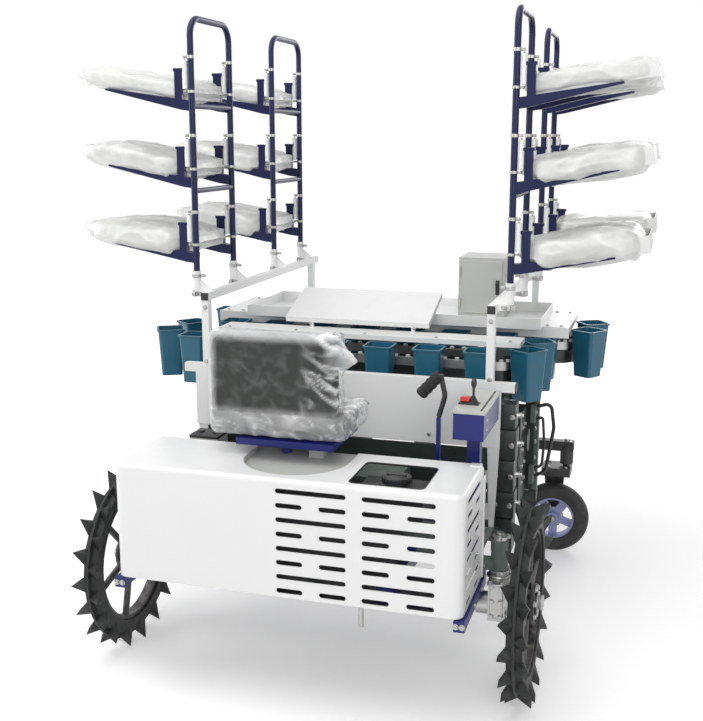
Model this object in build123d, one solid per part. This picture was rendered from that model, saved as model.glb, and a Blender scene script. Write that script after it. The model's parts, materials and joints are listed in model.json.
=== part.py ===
from build123d import *
import os
from math import cos, degrees, pi, radians, sin

# Riding seedling transplanter with cup carousels.
# Units are millimetres.  +X is the operator's right, +Z is up, and +Y runs from the hood and the
# drive wheels towards the carousels and the castors.  While it is built, places along Y are
# measured from a line just ahead of the hood's rear edge; at the end every part is moved by
# ORIGIN_SHIFT, so that the origin lies on the floor in the middle of the length and the width.

# ---------------------------------------------------------------- driving dimensions
WHEEL_R = 310            # drive wheel, out to the lug tips
WHEEL_X = 672            # half of the track width
AXLE_Y = 80
AXLE_R = 17
LUG_COUNT = 18           # lugs on each side of a drive wheel
LUG_REACH = 43           # half of the drive wheel's width
KINGPIN_X = 585          # upright pin that a drive unit steers about
KINGPIN_R = 15
BEARING_Z = (405, 500)   # ends of the kingpins' bearing tubes
FIT = 0.05               # radial play of a pin or an axle in its bore
GAP = 0.3                # between parts of different bodies
CASTOR_R = 145
CASTOR_STEM_X = 668
CASTOR_STEM_R = 14
CASTOR_Y = 1300
CASTOR_TRAIL = 45
CASTOR_BAR_Z = 455

HOOD_X = 535             # half width
HOOD_FRONT = -253
HOOD_REAR = 53
HOOD_LOW = 379
HOOD_TOP = 740
SHEET = 3                # thickness of the sheet metal
SLOT = 15                # width of a slot in the hood
SLOT_LENGTH = 212
SLOT_PITCH = 43.5
WINDOW = (305, -124, 222, 205)   # middle and sides of the opening over the fuel cap
RECESS_R = 165

RAIL_X = 300             # chassis rails
RAIL_SIZE = 50
RAIL_Z = 410
TRAY_LOW = 382           # underside of the sheet under the engine
RAIL_FRONT = -215
RAIL_END = 1500
ARM = 40                 # height of the outriggers
BAR_FRONT = -255         # front end of the bars along the hood's lower edges

TUBE = 26                # square tube of the rack
RACK_X = 495             # middle of the rack's posts and beams
RACK_FRONT = 364
RACK_REAR = 1475         # middle of the rear posts
BEAM_TOP = 1170
BEAM_END = 1530
CROSS_TUBE = 30          # square tube across the machine over the front panel
CROSS_Z = 906
CROSS_X = 578
LEG_X = 512              # posts under the cross tube
CORNER_X = 594           # posts under the carousels
CORNER_Y = 800

LADDER_X = 545
LADDER_TUBE = 22
LADDER_TOP = 2092
LADDER_FOOT = 1150
SOCKET_TOP = 1236
LADDERS = (              # name, first upright, second upright, heights of the rungs
    ("front", 402, 724, (1512, 1795)),
    ("rear", 1150, 1476, (1512, 1795)),
)
TIERS = (                # height of a tray's inner edge, slope of the tray in degrees
    (1817, 8),
    (1560, 8),
    (1303, 6),
)
TRAY = (394, 288, 55)    # length outwards, width, depth
TRAY_X = 578             # inner edge of the trays
ARM_REACH = 290          # length of a tray arm beyond the tray's inner edge

CUP_RIM = 986
CUP_HEIGHT = 176
CUP_TOP = 104
CUP_FOOT = 76
LOOPS = (                # name, centre, half length, front run, rear run, cups, phase
    ("front", -85, 700, 545, 860, 18, 0.01),
    ("rear", 20, 757, 975, 1290, 19, 0.6),
)
LEVER_TOP = 856          # top of the shift lever's flat bar, where its bent arm starts
BED_Z = 850              # underside of the carousels' bed plates
CHAIN_Z = (905, 935)
PLANTER_X = (-390, -130, 130, 390)
PLANTER_Y = 945

ORIGIN_SHIFT = (0, -(BAR_FRONT + BEAM_END) / 2, 0)


# ---------------------------------------------------------------- helpers
def block(x, y, z):
    """A box given by its low and high value along each axis."""
    middle = Pos((x[0] + x[1]) / 2, (y[0] + y[1]) / 2, (z[0] + z[1]) / 2)
    return middle * Box(x[1] - x[0], y[1] - y[0], z[1] - z[0])


def around(middle, size):
    """The (low, high) span of a size about a middle."""
    return (middle - size / 2, middle + size / 2)


def beam(x, y, z, size=TUBE):
    """A square bar: two of the three places are middles, the third is a (low, high) span."""
    spans = [s if isinstance(s, tuple) else around(s, size) for s in (x, y, z)]
    return block(*spans)


def rod(start, end, diameter):
    """A round bar between two points."""
    a, b = Vector(*start), Vector(*end)
    return Solid.make_cylinder(diameter / 2, (b - a).length, Plane(origin=a, z_dir=b - a))


def rail(points, diameter, radii):
    """A round tube or hose along straight runs that tangent arcs join."""
    path = FilletPolyline(*points, radius=radii)
    start = Vector(*points[0])
    section = Plane(origin=start, z_dir=Vector(*points[1]) - start) * Circle(diameter / 2)
    return sweep(section, path=path)


def side_plate(points, y, thickness):
    """A plate in the XZ plane, with its middle at y."""
    return Pos(0, y, 0) * extrude(Plane.XZ * Polygon(*points, align=None), thickness / 2, both=True)


def both_sides(shape):
    """A shape at the right with its mirror image at the left."""
    return [shape, mirror(shape, about=Plane.YZ)]


def joined(shapes):
    """One shape from several that touch or overlap."""
    first, *rest = shapes
    return first.fuse(*rest) if rest else first


def group(shapes):
    """Several solids that don't touch, kept in one node."""
    solids = [solid for shape in shapes for solid in shape.solids()]
    return Compound(children=solids)


# ---------------------------------------------------------------- drive wheels and their units
def faceted(sections):
    """Solid through like polygons, each face a true plane."""
    faces = []
    for face in loft(sections, ruled=True).faces():
        corners = [edge.position_at(0) for edge in face.outer_wire().order_edges()]
        faces.append(Face(Wire.make_polygon(corners)))
    return Solid(Shell(faces))


def tyre_ring(bands, bore, facets, turn):
    """Faceted tyre about X, from bands and bore of (place along the axle, radius)."""
    outer = [Pos(0, 0, x) * RegularPolygon(r, facets) for x, r in bands]
    inner = [Pos(0, 0, x) * RegularPolygon(r, facets, major_radius=False) for x, r in bore]
    ring = faceted(outer).cut(faceted(inner))
    return Rot(0, 90, 0) * Rot(0, 0, turn) * ring


def lug():
    """One wedge lug at the front of the wheel: a steep working face above and a longer back below."""
    ridge, root = WHEEL_R - 24, WHEEL_R - 70
    rise = (WHEEL_R - ridge) / (LUG_REACH - 1)
    slant = (LUG_REACH - 23) / (WHEEL_R - 27 - root)
    tip = ((1, ridge), (LUG_REACH, WHEEL_R), (LUG_REACH, WHEEL_R - 27), (23, root), (1, root))
    foot = ((1, root + 6), (22, root + 6 + 21 * rise), (22, root + 10), (22 - 10 * slant, root), (1, root))
    sections = Sketch()
    for points, z in ((foot, 16), (tip, 0), (foot, -40)):
        sections += Pos(0, 0, z) * Polygon(*[(x, -r) for x, r in points], align=None)
    return faceted(sections)


def drive_tyre():
    """Solid rubber ring with a centre rib and wedge lugs that alternate from side to side."""
    side = ((24, WHEEL_R - 46), (6, WHEEL_R - 42), (4, WHEEL_R - 24))
    bands = [(-x, r) for x, r in side] + [(x, r) for x, r in reversed(side)]
    bore = ((-25, WHEEL_R - 86), (25, WHEEL_R - 86))
    tyre = [tyre_ring(bands, bore, 2 * LUG_COUNT, 90 / LUG_COUNT)]
    pitch = 360 / LUG_COUNT
    for side, start in ((lug(), 0), (mirror(lug(), about=Plane.YZ), pitch / 2)):
        tyre += [Rot(start + turn * pitch, 0, 0) * side for turn in range(LUG_COUNT)]
    return joined(tyre)


def drive_rim():
    """Steel ring, six round spokes and a flanged hub."""
    ring_r = WHEEL_R - 86
    ring = revolve(Plane.XZ * (Pos(0, ring_r - 7) * Rectangle(34, 14)), Axis.X)
    hub = Rot(0, 90, 0) * Cylinder(38, 64)
    flange = Pos(22, 0, 0) * Rot(0, 90, 0) * Cylinder(56, 10)
    parts = [ring, hub, flange]
    for spoke in range(6):
        a = radians(60 * spoke + 15)
        reach = ring_r - 5
        parts.append(rod((0, 30 * cos(a), 30 * sin(a)), (0, reach * cos(a), reach * sin(a)), 22))
    return joined(parts).cut(Rot(0, 90, 0) * Cylinder(AXLE_R + FIT, 90))


def steering_beam():
    """Stub beams from the rails to the upright bearing tubes of the drive units."""
    low, high = BEARING_Z
    stub = block((RAIL_X + RAIL_SIZE / 2, KINGPIN_X - 5), around(AXLE_Y, 40), (low, RAIL_Z + RAIL_SIZE / 2))
    tube = rod((KINGPIN_X, AXLE_Y, low), (KINGPIN_X, AXLE_Y, high), 52)
    bore = rod((KINGPIN_X, AXLE_Y, 300), (KINGPIN_X, AXLE_Y, 600), 2 * (KINGPIN_R + FIT))
    return group(both_sides(joined([stub, tube]).cut(bore)))


def knuckle():
    """Steered drive unit at the right: gear case, kingpin with its cap, and the wheel's axle."""
    low, high = BEARING_Z
    case = block((560, 612), around(AXLE_Y, 92), (252, 385))
    neck = rod((KINGPIN_X, AXLE_Y, 380), (KINGPIN_X, AXLE_Y, low - GAP), 60)
    pin = rod((KINGPIN_X, AXLE_Y, 380), (KINGPIN_X, AXLE_Y, high + 12), 2 * KINGPIN_R)
    cap = rod((KINGPIN_X, AXLE_Y, high + GAP), (KINGPIN_X, AXLE_Y, high + 12), 46)
    nose = rod((600, AXLE_Y, WHEEL_R), (632, AXLE_Y, WHEEL_R), 96)
    motor = rod((520, AXLE_Y, 290), (570, AXLE_Y, 290), 70)
    axle = rod((600, AXLE_Y, WHEEL_R), (WHEEL_X + 50, AXLE_Y, WHEEL_R), 2 * AXLE_R)
    return joined([case, neck, pin, cap, nose, motor, axle])


# ---------------------------------------------------------------- castors
def castor_tyre():
    """Small tyre with a rounded tread; its axle runs along Y."""
    side = ((31, 118), (29, 128), (19, 140), (7, CASTOR_R))
    bands = [(-x, r) for x, r in side] + [(x, r) for x, r in reversed(side)]
    bore = ((-32, 114.6), (-26, 87), (26, 87), (32, 114.6))
    return Rot(0, 0, 90) * tyre_ring(bands, bore, 24, 0)


def castor_rim():
    """Pressed rim with five flat spokes and a hub."""
    rim_r = 86.7
    barrel = revolve(Plane.YZ * (Pos(0, rim_r - 4) * Rectangle(46, 8)), Axis.Y)
    hub = Rot(90, 0, 0) * Cylinder(24, 60)
    parts = [barrel, hub]
    for spoke in range(5):
        web = block((18, rim_r - 4), (-4, 4), (-17, 17))
        parts.append(Rot(0, 72 * spoke + 18, 0) * web)
    return joined(parts).cut(Rot(90, 0, 0) * Cylinder(8 + FIT, 80))


def castor_fork():
    """Swivelling fork: stem, deep crown and one arm down to the axle, on the rear side."""
    low, high = 335, 369
    axle_x = CASTOR_STEM_X - CASTOR_TRAIL
    stem = rod((CASTOR_STEM_X, CASTOR_Y, high - 5), (CASTOR_STEM_X, CASTOR_Y, 474), 2 * CASTOR_STEM_R)
    crown = block((axle_x - 50, CASTOR_STEM_X + 20), around(CASTOR_Y, 108), (low, high))
    web = ((axle_x - 50, low + 2), (axle_x + 36, low + 2), (axle_x + 24, 120), (axle_x - 24, 120))
    arm = side_plate(web, CASTOR_Y + 47, 14)
    axle = rod((axle_x, CASTOR_Y - 38, CASTOR_R), (axle_x, CASTOR_Y + 50, CASTOR_R), 16)
    head = rod((axle_x, CASTOR_Y - 38, CASTOR_R), (axle_x, CASTOR_Y - 30 - GAP, CASTOR_R), 26)
    return joined([stem, crown, arm, axle, head])


def castor_beam():
    """Cross bar of the castors with a bearing housing under each end."""
    reach = CASTOR_STEM_X + 24
    parts = [beam((-reach, reach), CASTOR_Y, CASTOR_BAR_Z, 40)]
    housing = rod((CASTOR_STEM_X, CASTOR_Y, 382), (CASTOR_STEM_X, CASTOR_Y, CASTOR_BAR_Z), 54)
    bore = rod((CASTOR_STEM_X, CASTOR_Y, 300), (CASTOR_STEM_X, CASTOR_Y, 600), 2 * (CASTOR_STEM_R + FIT))
    return joined(parts + both_sides(housing)).cut(*both_sides(bore))


# ---------------------------------------------------------------- chassis
def chassis_rails():
    return group(both_sides(beam(RAIL_X, (RAIL_FRONT, RAIL_END), RAIL_Z, RAIL_SIZE)))


def chassis_members():
    """Cross members between the rails, and the outriggers that the posts stand on."""
    low, high = RAIL_Z - RAIL_SIZE / 2, RAIL_Z + RAIL_SIZE / 2
    inside, outside = RAIL_X - RAIL_SIZE / 2, RAIL_X + RAIL_SIZE / 2
    rows = (-190, AXLE_Y, 364, 700, 1205, RACK_REAR)
    shapes = [block((-inside, inside), around(y, 50), (low, high)) for y in rows]
    for y, reach in ((RACK_FRONT, LEG_X + 20), (CORNER_Y, CORNER_X + 14), (RACK_REAR, RACK_X + 20)):
        shapes += both_sides(block((outside, reach), around(y, 40), (low, low + ARM)))
    hitch = [Pos(x, RACK_REAR, RAIL_Z) * Rot(90, 0, 0) * Cylinder(6.5, 80) for x in (-100, 100)]
    return group([shape.cut(*hitch) for shape in shapes])


def side_bars():
    """Bars along the hood's lower edges, hung from the rails and the steering beam."""
    bar = block((511, 543), (BAR_FRONT, 100), (343, 375))
    arm = block((RAIL_X + RAIL_SIZE / 2, 530), (-210, -170), (RAIL_Z - RAIL_SIZE / 2 + GAP, 399))
    drop = block((507, 530), (-210, -170), (370, 399))
    hanger = block((515, 543), around(AXLE_Y, 36), (370, BEARING_Z[0]))
    return group(both_sides(joined([bar, arm, drop, hanger])))


def engine():
    return block((-60, 300), (-170, 10), (RAIL_Z + 25, 630))


def drain_pipe():
    return rod((225, -190, 290), (225, -190, TRAY_LOW), 15)


def undertray():
    """Sheet under the engine, hung from the rails."""
    return block((-505, 505), (-240, 48), (TRAY_LOW, RAIL_Z - RAIL_SIZE / 2))


# ---------------------------------------------------------------- hood
def hood_shape(inset):
    """The hood's outer block, or with an inset the hollow inside it."""
    width, low, rear = HOOD_X - inset, HOOD_LOW - (inset and 10), HOOD_REAR + (inset and 10)
    shape = block((-width, width), (HOOD_FRONT + inset, rear), (low, HOOD_TOP - inset))
    corners = shape.edges().filter_by(Axis.Z).sort_by(Axis.Y)[:2]
    shape = fillet(corners, 30 - inset)
    rim = shape.faces().sort_by(Axis.Z)[-1].edges().sort_by(Axis.Y)[:-1]
    return fillet(rim, 16 - inset)


def slot_rows(middle, length):
    """Rows of slots: a long one, then a pair of short ones, and so on down the panel."""
    short = 0.38 * length
    places = []
    for row in range(8):
        z = HOOD_TOP - 36 - SLOT_PITCH * row
        if row % 2 == 0:
            places.append((middle, z, length))
        else:
            places += [(middle + side * (length - short) / 2, z, short) for side in (-1, 1)]
    return places


def hood():
    """Sheet-metal hood: slotted front and right side, fuel window and seat recess in its top."""
    shell = hood_shape(0).cut(hood_shape(SHEET))
    cutters = []
    for middle in (91, 350):
        for x, z, length in slot_rows(middle, SLOT_LENGTH):
            slot = extrude(SlotOverall(length, SLOT), 10, both=True)
            cutters.append(Pos(x, HOOD_FRONT, z) * Rot(90, 0, 0) * slot)
    for y, z, length in slot_rows(-95, 200):
        slot = extrude(SlotOverall(length, SLOT), 10, both=True)
        cutters.append(Pos(HOOD_X, y, z) * Rot(0, 0, 90) * Rot(90, 0, 0) * slot)
    x, y, width, depth = WINDOW
    cutters.append(extrude(Pos(x, y, HOOD_TOP - 10) * RectangleRounded(width, depth, 18), 30))
    cutters.append(seat_recess(HOOD_TOP - 10, 30, 0))
    return shell.cut(*cutters)


def seat_recess(z, height, inset):
    """The rounded notch in the hood's top under the seat."""
    radius = RECESS_R - inset
    notch = Pos(-18, -48) * (Circle(radius) + Pos(0, 60) * Rectangle(2 * radius, 120))
    return extrude(Pos(0, 0, z) * notch, height)


def seat_mount():
    """Wall and sloping floor of the recess, and the post and the column under the seat plate."""
    rear = block((-300, 300), (HOOD_REAR - GAP, 200), (600, 800))
    well = seat_recess(690, HOOD_TOP - 690, GAP).cut(rear)
    hollow = seat_recess(690, 60, SHEET + GAP)
    slope = Pos(0, HOOD_REAR, HOOD_TOP - 5) * Rot(7, 0, 0)
    under_top, under_floor = [slope * block((-300, 300), (-400, 100), (-200, z)) for z in (0, -SHEET)]
    tray_shape = well.cut(hollow.cut(under_top), under_floor)
    post = block((0, 46), (4, 46), (722, 772))
    column = block((-120, -60), (120, 180), (RAIL_Z + 29, 772))
    return group([joined([tray_shape, post]), column])


def seat_plate():
    """Folded plate under the seat, with the round head of its pivot bolt."""
    plate = block((-215, 98), (-60, 200), (772, 792))
    return joined([plate, rod((-70, 0, 742), (-70, 0, 775), 32)])


def seat():
    """Pan seat with its backrest; the cushion is towards the carousels."""
    pan = block((-300, 124), (-30, 226), (792 + GAP, 866))
    back = block((-300, 108), (-60, 4), (815, 1118))
    pan = fillet(pan.edges().filter_by(Axis.Z), 40)
    back = fillet(back.edges().filter_by(Axis.Y).sort_by(Axis.Z)[-2:], 60)
    return joined([pan, back])


def fuel_tank():
    """Tank under the hood's window, with its neck and cap."""
    tank = block((200, 412), (-220, -28), (640, 700))
    neck = Pos(305, -95, 705) * Cylinder(30, 14)
    cap = Pos(305, -95, 720) * Cylinder(42, 18)
    return joined([tank, neck, cap])


def label_plate():
    return block((262, 372), (-200, -160), (700, 702))


# ---------------------------------------------------------------- operator's place
def footplate():
    return block((-525, 525), (110, 330), (RAIL_Z + 25, RAIL_Z + 29))


def gearbox():
    return block((20, 250), (130, 300), (RAIL_Z + 29, 640))


def side_box():
    """Battery box at the left end of the footplate."""
    return block((-510, -408), (230, 318), (RAIL_Z + 29, 694))


def lower_shield():
    """Dark sheet under the front panel."""
    return block((-490, 490), (338, 341), (RAIL_Z + 29, 704))


def front_panel():
    """White shield in front of the operator's legs, folded over the cross tube."""
    y = RACK_FRONT - CROSS_TUBE / 2 - SHEET
    top = CROSS_Z + CROSS_TUBE / 2 + SHEET
    face = block((-HOOD_X, HOOD_X), (y, y + SHEET), (705, top))
    fold = block((-HOOD_X + 58, HOOD_X - 58), (y, y + CROSS_TUBE), (top - SHEET, top))
    return joined([face, fold])


def cross_frame():
    """Cross tube on its two lower posts, which narrow towards their feet."""
    foot = RAIL_Z - RAIL_SIZE / 2 + ARM
    sections = Sketch()
    for z, size in ((foot, 16), (700, 36), (CROSS_Z, 36)):
        sections += Pos(LEG_X, RACK_FRONT, z) * Rectangle(size, size - 6)
    leg = loft(sections, ruled=True)
    tube = beam((-CROSS_X, CROSS_X), RACK_FRONT, CROSS_Z, CROSS_TUBE)
    return joined([tube] + both_sides(leg))


def rack_side():
    """Upper post, long beam, rear post and the round sockets of the ladders, at the right."""
    post_foot = CROSS_Z + CROSS_TUBE / 2
    parts = [
        beam(RACK_X, RACK_FRONT, (post_foot, BEAM_TOP)),
        beam(RACK_X, (RACK_FRONT - TUBE / 2, BEAM_END), BEAM_TOP - TUBE / 2),
        beam(RACK_X, RACK_REAR, (RAIL_Z - RAIL_SIZE / 2 + ARM, BEAM_TOP)),
    ]
    gusset = ((RACK_X - 12, BEAM_TOP - 2), (LADDER_X - 6, BEAM_TOP - 2), (LADDER_X - 6, BEAM_TOP + 42))
    for _, first, second, _ in LADDERS:
        for y in (first, second):
            parts.append(block((RACK_X, LADDER_X), around(y, 26), (BEAM_TOP - 20, BEAM_TOP)))
            parts.append(side_plate(gusset, y, 5))
            parts.append(rod((LADDER_X, y, LADDER_FOOT), (LADDER_X, y, SOCKET_TOP), 29))
    return joined(parts)


# ---------------------------------------------------------------- ladders and trays
def tray_arm(z, slope, y, inwards):
    """Tapered arm under one edge of a tray, with the upright hooked plate at its root."""
    taper = ((-34, -GAP), (ARM_REACH, -GAP), (ARM_REACH, -7), (0, -34), (-34, -34))
    arm = Pos(TRAY_X, 0, z) * Rot(0, -slope, 0) * side_plate(taper, y + 11 * inwards, 38)
    edge = y + 3 * inwards
    plate = block((TRAY_X, TRAY_X + 26), around(edge, 22), (z - 20, z + 102))
    hook = block((TRAY_X - 8, TRAY_X + 30), around(edge, 22), (z + 92, z + 102))
    return [arm, plate, hook]


def ladder(first, second, rungs):
    """Navy hoop with its rungs and the arms that carry the trays."""
    top = LADDER_TOP - LADDER_TUBE / 2
    corners = [(first, SOCKET_TOP), (first, top), (second, top), (second, SOCKET_TOP)]
    parts = [rail([(LADDER_X, y, z) for y, z in corners], LADDER_TUBE, 60)]
    parts += [rod((LADDER_X, first, z), (LADDER_X, second, z), 18) for z in rungs]
    for z, slope in TIERS:
        for y, inwards in ((first, 1), (second, -1)):
            parts += tray_arm(z, slope, y, inwards)
    return joined(parts)


def tray(z, slope, y):
    """Open pan that slopes up outwards."""
    length, width, depth = TRAY
    pan = block((0, length), (-width / 2, width / 2), (0, depth))
    pan = pan.cut(block((3, length - 3), (3 - width / 2, width / 2 - 3), (3, depth + 5)))
    return Pos(TRAY_X, y, z) * Rot(0, -slope, 0) * pan


def trays():
    """The six pans of the right side."""
    return [tray(z, slope, (first + second) / 2) for _, first, second, _ in LADDERS for z, slope in TIERS]


# ---------------------------------------------------------------- carousels
def oval(loop, margin, z, height):
    """A racetrack-shaped plate that follows the cups' path at a margin."""
    centre, half_length, front, rear = loop
    radius = (rear - front) / 2 + margin
    width = 2 * (half_length + margin)
    return extrude(Pos(centre, (front + rear) / 2, z) * SlotOverall(width, 2 * radius), height)


def cup_places(loop, count, phase):
    """Places and headings of the cups along the racetrack, evenly spaced."""
    centre, half_length, front, rear = loop
    radius, middle = (rear - front) / 2, (front + rear) / 2
    straight = half_length - radius
    bend = pi * radius
    lap = 4 * straight + 2 * bend
    places = []
    for cup in range(count):
        s = (cup + phase) * lap / count
        if s < 2 * straight:
            places.append((centre + s - straight, front, 0))
        elif s < 2 * straight + bend:
            a = (s - 2 * straight) / radius - pi / 2
            places.append((centre + straight + radius * cos(a), middle + radius * sin(a), degrees(a) + 90))
        elif s < 4 * straight + bend:
            places.append((centre + 3 * straight + bend - s, rear, 180))
        else:
            a = (s - 4 * straight - bend) / radius + pi / 2
            places.append((centre - straight + radius * cos(a), middle + radius * sin(a), degrees(a) + 90))
    return places


def cup_body(inset):
    """The outside of a cup, or with an inset the hollow inside it."""
    foot, top = CUP_FOOT - 2 * inset, CUP_TOP - 8 - 2 * inset
    sections = Sketch() + Pos(0, 0, inset) * RectangleRounded(foot, foot, 12)
    sections += Pos(0, 0, CUP_HEIGHT + (inset and 1)) * RectangleRounded(top, top, 14)
    return loft(sections)


def cup():
    """Tapered square cup with a flared rim and a tab that holds it to the chain."""
    rim = extrude(Pos(0, 0, CUP_HEIGHT - 6) * RectangleRounded(CUP_TOP, CUP_TOP, 16), 6)
    tab = block((-18, 18), (38, 57 - GAP), (97, 123))
    return joined([cup_body(0), rim, tab]).cut(cup_body(3))


def cups(loop, count, phase):
    one = cup()
    places = cup_places(loop, count, phase)
    return group([Pos(x, y, CUP_RIM - CUP_HEIGHT) * Rot(0, 0, turn) * one for x, y, turn in places])


def carousel_bed(loop):
    """Bed plate inside the loop of cups, with a sprocket drum at each end."""
    centre, half_length, front, rear = loop
    radius = (rear - front) / 2
    middle = (front + rear) / 2
    reach = half_length - radius
    drums = [Pos(centre + side * reach, middle, BED_Z + 57) * Cylinder(radius - 72, 90) for side in (-1, 1)]
    return joined([oval(loop, -72, BED_Z, 14)] + drums)


def carousel_chain(loop):
    """Chain that carries the cups, one closed loop."""
    low, high = CHAIN_Z
    return oval(loop, -57, low, high - low).cut(oval(loop, -69, low - 5, high - low + 10))


def carousel_frame():
    """Posts, arms, long beams and pillars that hold the beds, one frame each side."""
    beam_x, low, high = 480, 760, 800
    foot = RAIL_Z - RAIL_SIZE / 2 + ARM
    long_beam = block(around(beam_x, 40), (620, RACK_REAR - TUBE / 2 - GAP), (low, high))
    post = beam(CORNER_X, CORNER_Y, (foot, high - 3), 28)
    arm = block((beam_x, CORNER_X), around(CORNER_Y, 28), (low, high - 3))
    parts = [long_beam, post, arm]
    for _, _, _, front, rear, _, _ in LOOPS:
        parts.append(block(around(beam_x, 30), around((front + rear) / 2, 30), (high - 2, BED_Z)))
    fitting_y = (CORNER_Y - 56, CORNER_Y - 14)
    fittings = [block((CORNER_X - 12, CORNER_X + 4), fitting_y, z) for z in ((462, 530), (690, 755))]
    return group([joined(parts + fittings), mirror(joined(parts), about=Plane.YZ)])


def planter_drive():
    """Case of the carousels' and planters' drive at the right, with its lower shaft housing."""
    case = block((482, 568), (590, 755), (RAIL_Z - RAIL_SIZE / 2 + ARM, 756))
    boss = rod((568, 700, 640), (584, 700, 640), 80)
    arm = block((RAIL_X + RAIL_SIZE / 2, 560), (680, 720), (RAIL_Z - 15, RAIL_Z + 15))
    return joined([case, boss, arm])


def hoses():
    """Two hoses that loop out from the drive and back to the corner post."""
    y = CORNER_Y - 30
    start = CORNER_X + 8
    outer_line = [(start, y, 746), (652, y, 762), (664, y, 672), (640, y, 508), (start, y, 486)]
    outer = rail(outer_line, 13, [20, 60, 36])
    y -= 22
    inner_line = [(start, y, 704), (626, y, 716), (634, y, 620), (628, y, 534), (start, y, 522)]
    inner = rail(inner_line, 10, [8, 80, 20])
    return group([outer, inner])


def lipped(x, y, top, lip):
    """A sheet with its edges folded down all round."""
    sheet = block(x, y, (top - lip, top))
    inside_x = (x[0] + SHEET, x[1] - SHEET)
    inside_y = (y[0] + SHEET, y[1] - SHEET)
    return sheet.cut(block(inside_x, inside_y, (top - lip - 5, top - SHEET)))


def front_cover():
    return lipped((-556, 556), (603, 716), 1006, 18)


def rear_cover():
    """Cover of the rear loop, with a deeper fold along its front edge."""
    flat = lipped((-690, 690), (914, 1292), 1012, 22)
    return joined([flat, block((-690, 690), (914, 914 + SHEET), (972, 1000))])


# ---------------------------------------------------------------- shelf and table
def shelf():
    """Long shallow tray over the carousels."""
    tray_box = block((-540, 595), (840, 1240), (1012, 1052))
    return tray_box.cut(block((-537, 592), (843, 1237), (1015, 1060)))


def table():
    """Sloping board with folded edges, on two legs in front and two behind."""
    board = Pos(0, 698, 1040) * Rot(20, 0, 0) * lipped((-330, 215), (0, 236), 0, 20)
    front_legs = [block((x, x + 12), (704, 716), (1006, 1030)) for x in (-235, 150)]
    rear_legs = [block((x, x + 12), (872, 884), (1015, 1097)) for x in (-300, 180)]
    return joined([board] + front_legs + rear_legs)


def cabinet():
    return block((254, 432), (1036, 1230), (1015 + GAP, 1243))


# ---------------------------------------------------------------- planting units
def planter_frame():
    """Tool beam on its two hangers, with two parallel links for each beak."""
    parts = [beam((-480, 480), PLANTER_Y, 640, 90)]
    parts += both_sides(block((462, 478), around(PLANTER_Y, 40), (680, 760)))
    for x in PLANTER_X:
        for z in (610, 670):
            parts.append(block((x - 56, x - 48), (PLANTER_Y + 40, PLANTER_Y + 200), around(z, 24)))
    return joined(parts)


def planter_beaks():
    shapes = []
    for x in PLANTER_X:
        sections = Sketch() + Pos(x, PLANTER_Y + 90, 130) * Rectangle(16, 60)
        sections += Pos(x, PLANTER_Y + 90, 420) * Rectangle(40, 100)
        shapes.append(loft(sections))
    return group(shapes)


def seed_tubes():
    return group([Pos(x, PLANTER_Y + 90, 608) * Cylinder(42, 374) for x in PLANTER_X])


# ---------------------------------------------------------------- controls
def control_box():
    """Box on its post."""
    body = block((445, 537), (17, 294), (820, 900))
    post = block((470, 510), (115, 155), (RAIL_Z + 29, 820))
    return joined([body, post])


def control_lid():
    return lipped((442, 540), (14, 298), 909, 9 - GAP)


def control_lever():
    return block((374, 386), (114, 130), (RAIL_Z + 29, LEVER_TOP))


def lever_grip():
    """Bent arm of the lever and its thick slanting grip."""
    y = 122
    arm = rail([(380, y, LEVER_TOP + 2.5), (399, y, 925), (384, y, 990)], 16, [50])
    return joined([arm, rod((324, y, 926), (380, y, 988), 34)])


# ---------------------------------------------------------------- the whole machine
def sides(nodes, name, shape):
    """Two nodes: a shape at the right, and its mirror image at the left."""
    nodes[f"{name}_right"] = shape
    nodes[f"{name}_left"] = mirror(shape, about=Plane.YZ)


def machine():
    """Every node of the machine by its name."""
    nodes = {
        "chassis_rails": chassis_rails(),
        "chassis_members": chassis_members(),
        "steering_beam": steering_beam(),
        "side_bars": side_bars(),
        "engine": engine(),
        "drain_pipe": drain_pipe(),
        "undertray": undertray(),
        "gearbox": gearbox(),
        "side_box": side_box(),
        "hood": hood(),
        "seat_mount": seat_mount(),
        "seat_plate": seat_plate(),
        "seat": seat(),
        "fuel_tank": fuel_tank(),
        "label_plate": label_plate(),
        "footplate": footplate(),
        "lower_shield": lower_shield(),
        "front_panel": front_panel(),
        "cross_frame": cross_frame(),
        "front_cover": front_cover(),
        "rear_cover": rear_cover(),
        "shelf": shelf(),
        "table": table(),
        "cabinet": cabinet(),
        "planter_frame": planter_frame(),
        "planter_beaks": planter_beaks(),
        "planter_drive": planter_drive(),
        "seed_tubes": seed_tubes(),
        "carousel_frame": carousel_frame(),
        "hoses": hoses(),
        "control_box": control_box(),
        "control_lid": control_lid(),
        "control_lever": control_lever(),
        "lever_grip": lever_grip(),
        "castor_beam": castor_beam(),
    }
    ladders = [ladder(first, second, rungs) for _, first, second, rungs in LADDERS]
    sides(nodes, "rack", rack_side())
    sides(nodes, "ladders", group(ladders))
    sides(nodes, "trays", group(trays()))
    for name, centre, half_length, front, rear, count, phase in LOOPS:
        loop = (centre, half_length, front, rear)
        nodes[f"cups_{name}"] = cups(loop, count, phase)
        nodes[f"carousel_bed_{name}"] = carousel_bed(loop)
        nodes[f"carousel_chain_{name}"] = carousel_chain(loop)
    wheel = Pos(WHEEL_X, AXLE_Y, WHEEL_R)
    sides(nodes, "knuckle", knuckle())
    sides(nodes, "drive_tyre", wheel * drive_tyre())
    sides(nodes, "drive_rim", wheel * drive_rim())
    axle = Pos(CASTOR_STEM_X - CASTOR_TRAIL, CASTOR_Y, CASTOR_R)
    sides(nodes, "castor_tyre", axle * castor_tyre())
    sides(nodes, "castor_rim", axle * castor_rim())
    sides(nodes, "castor_fork", castor_fork())
    return nodes


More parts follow.
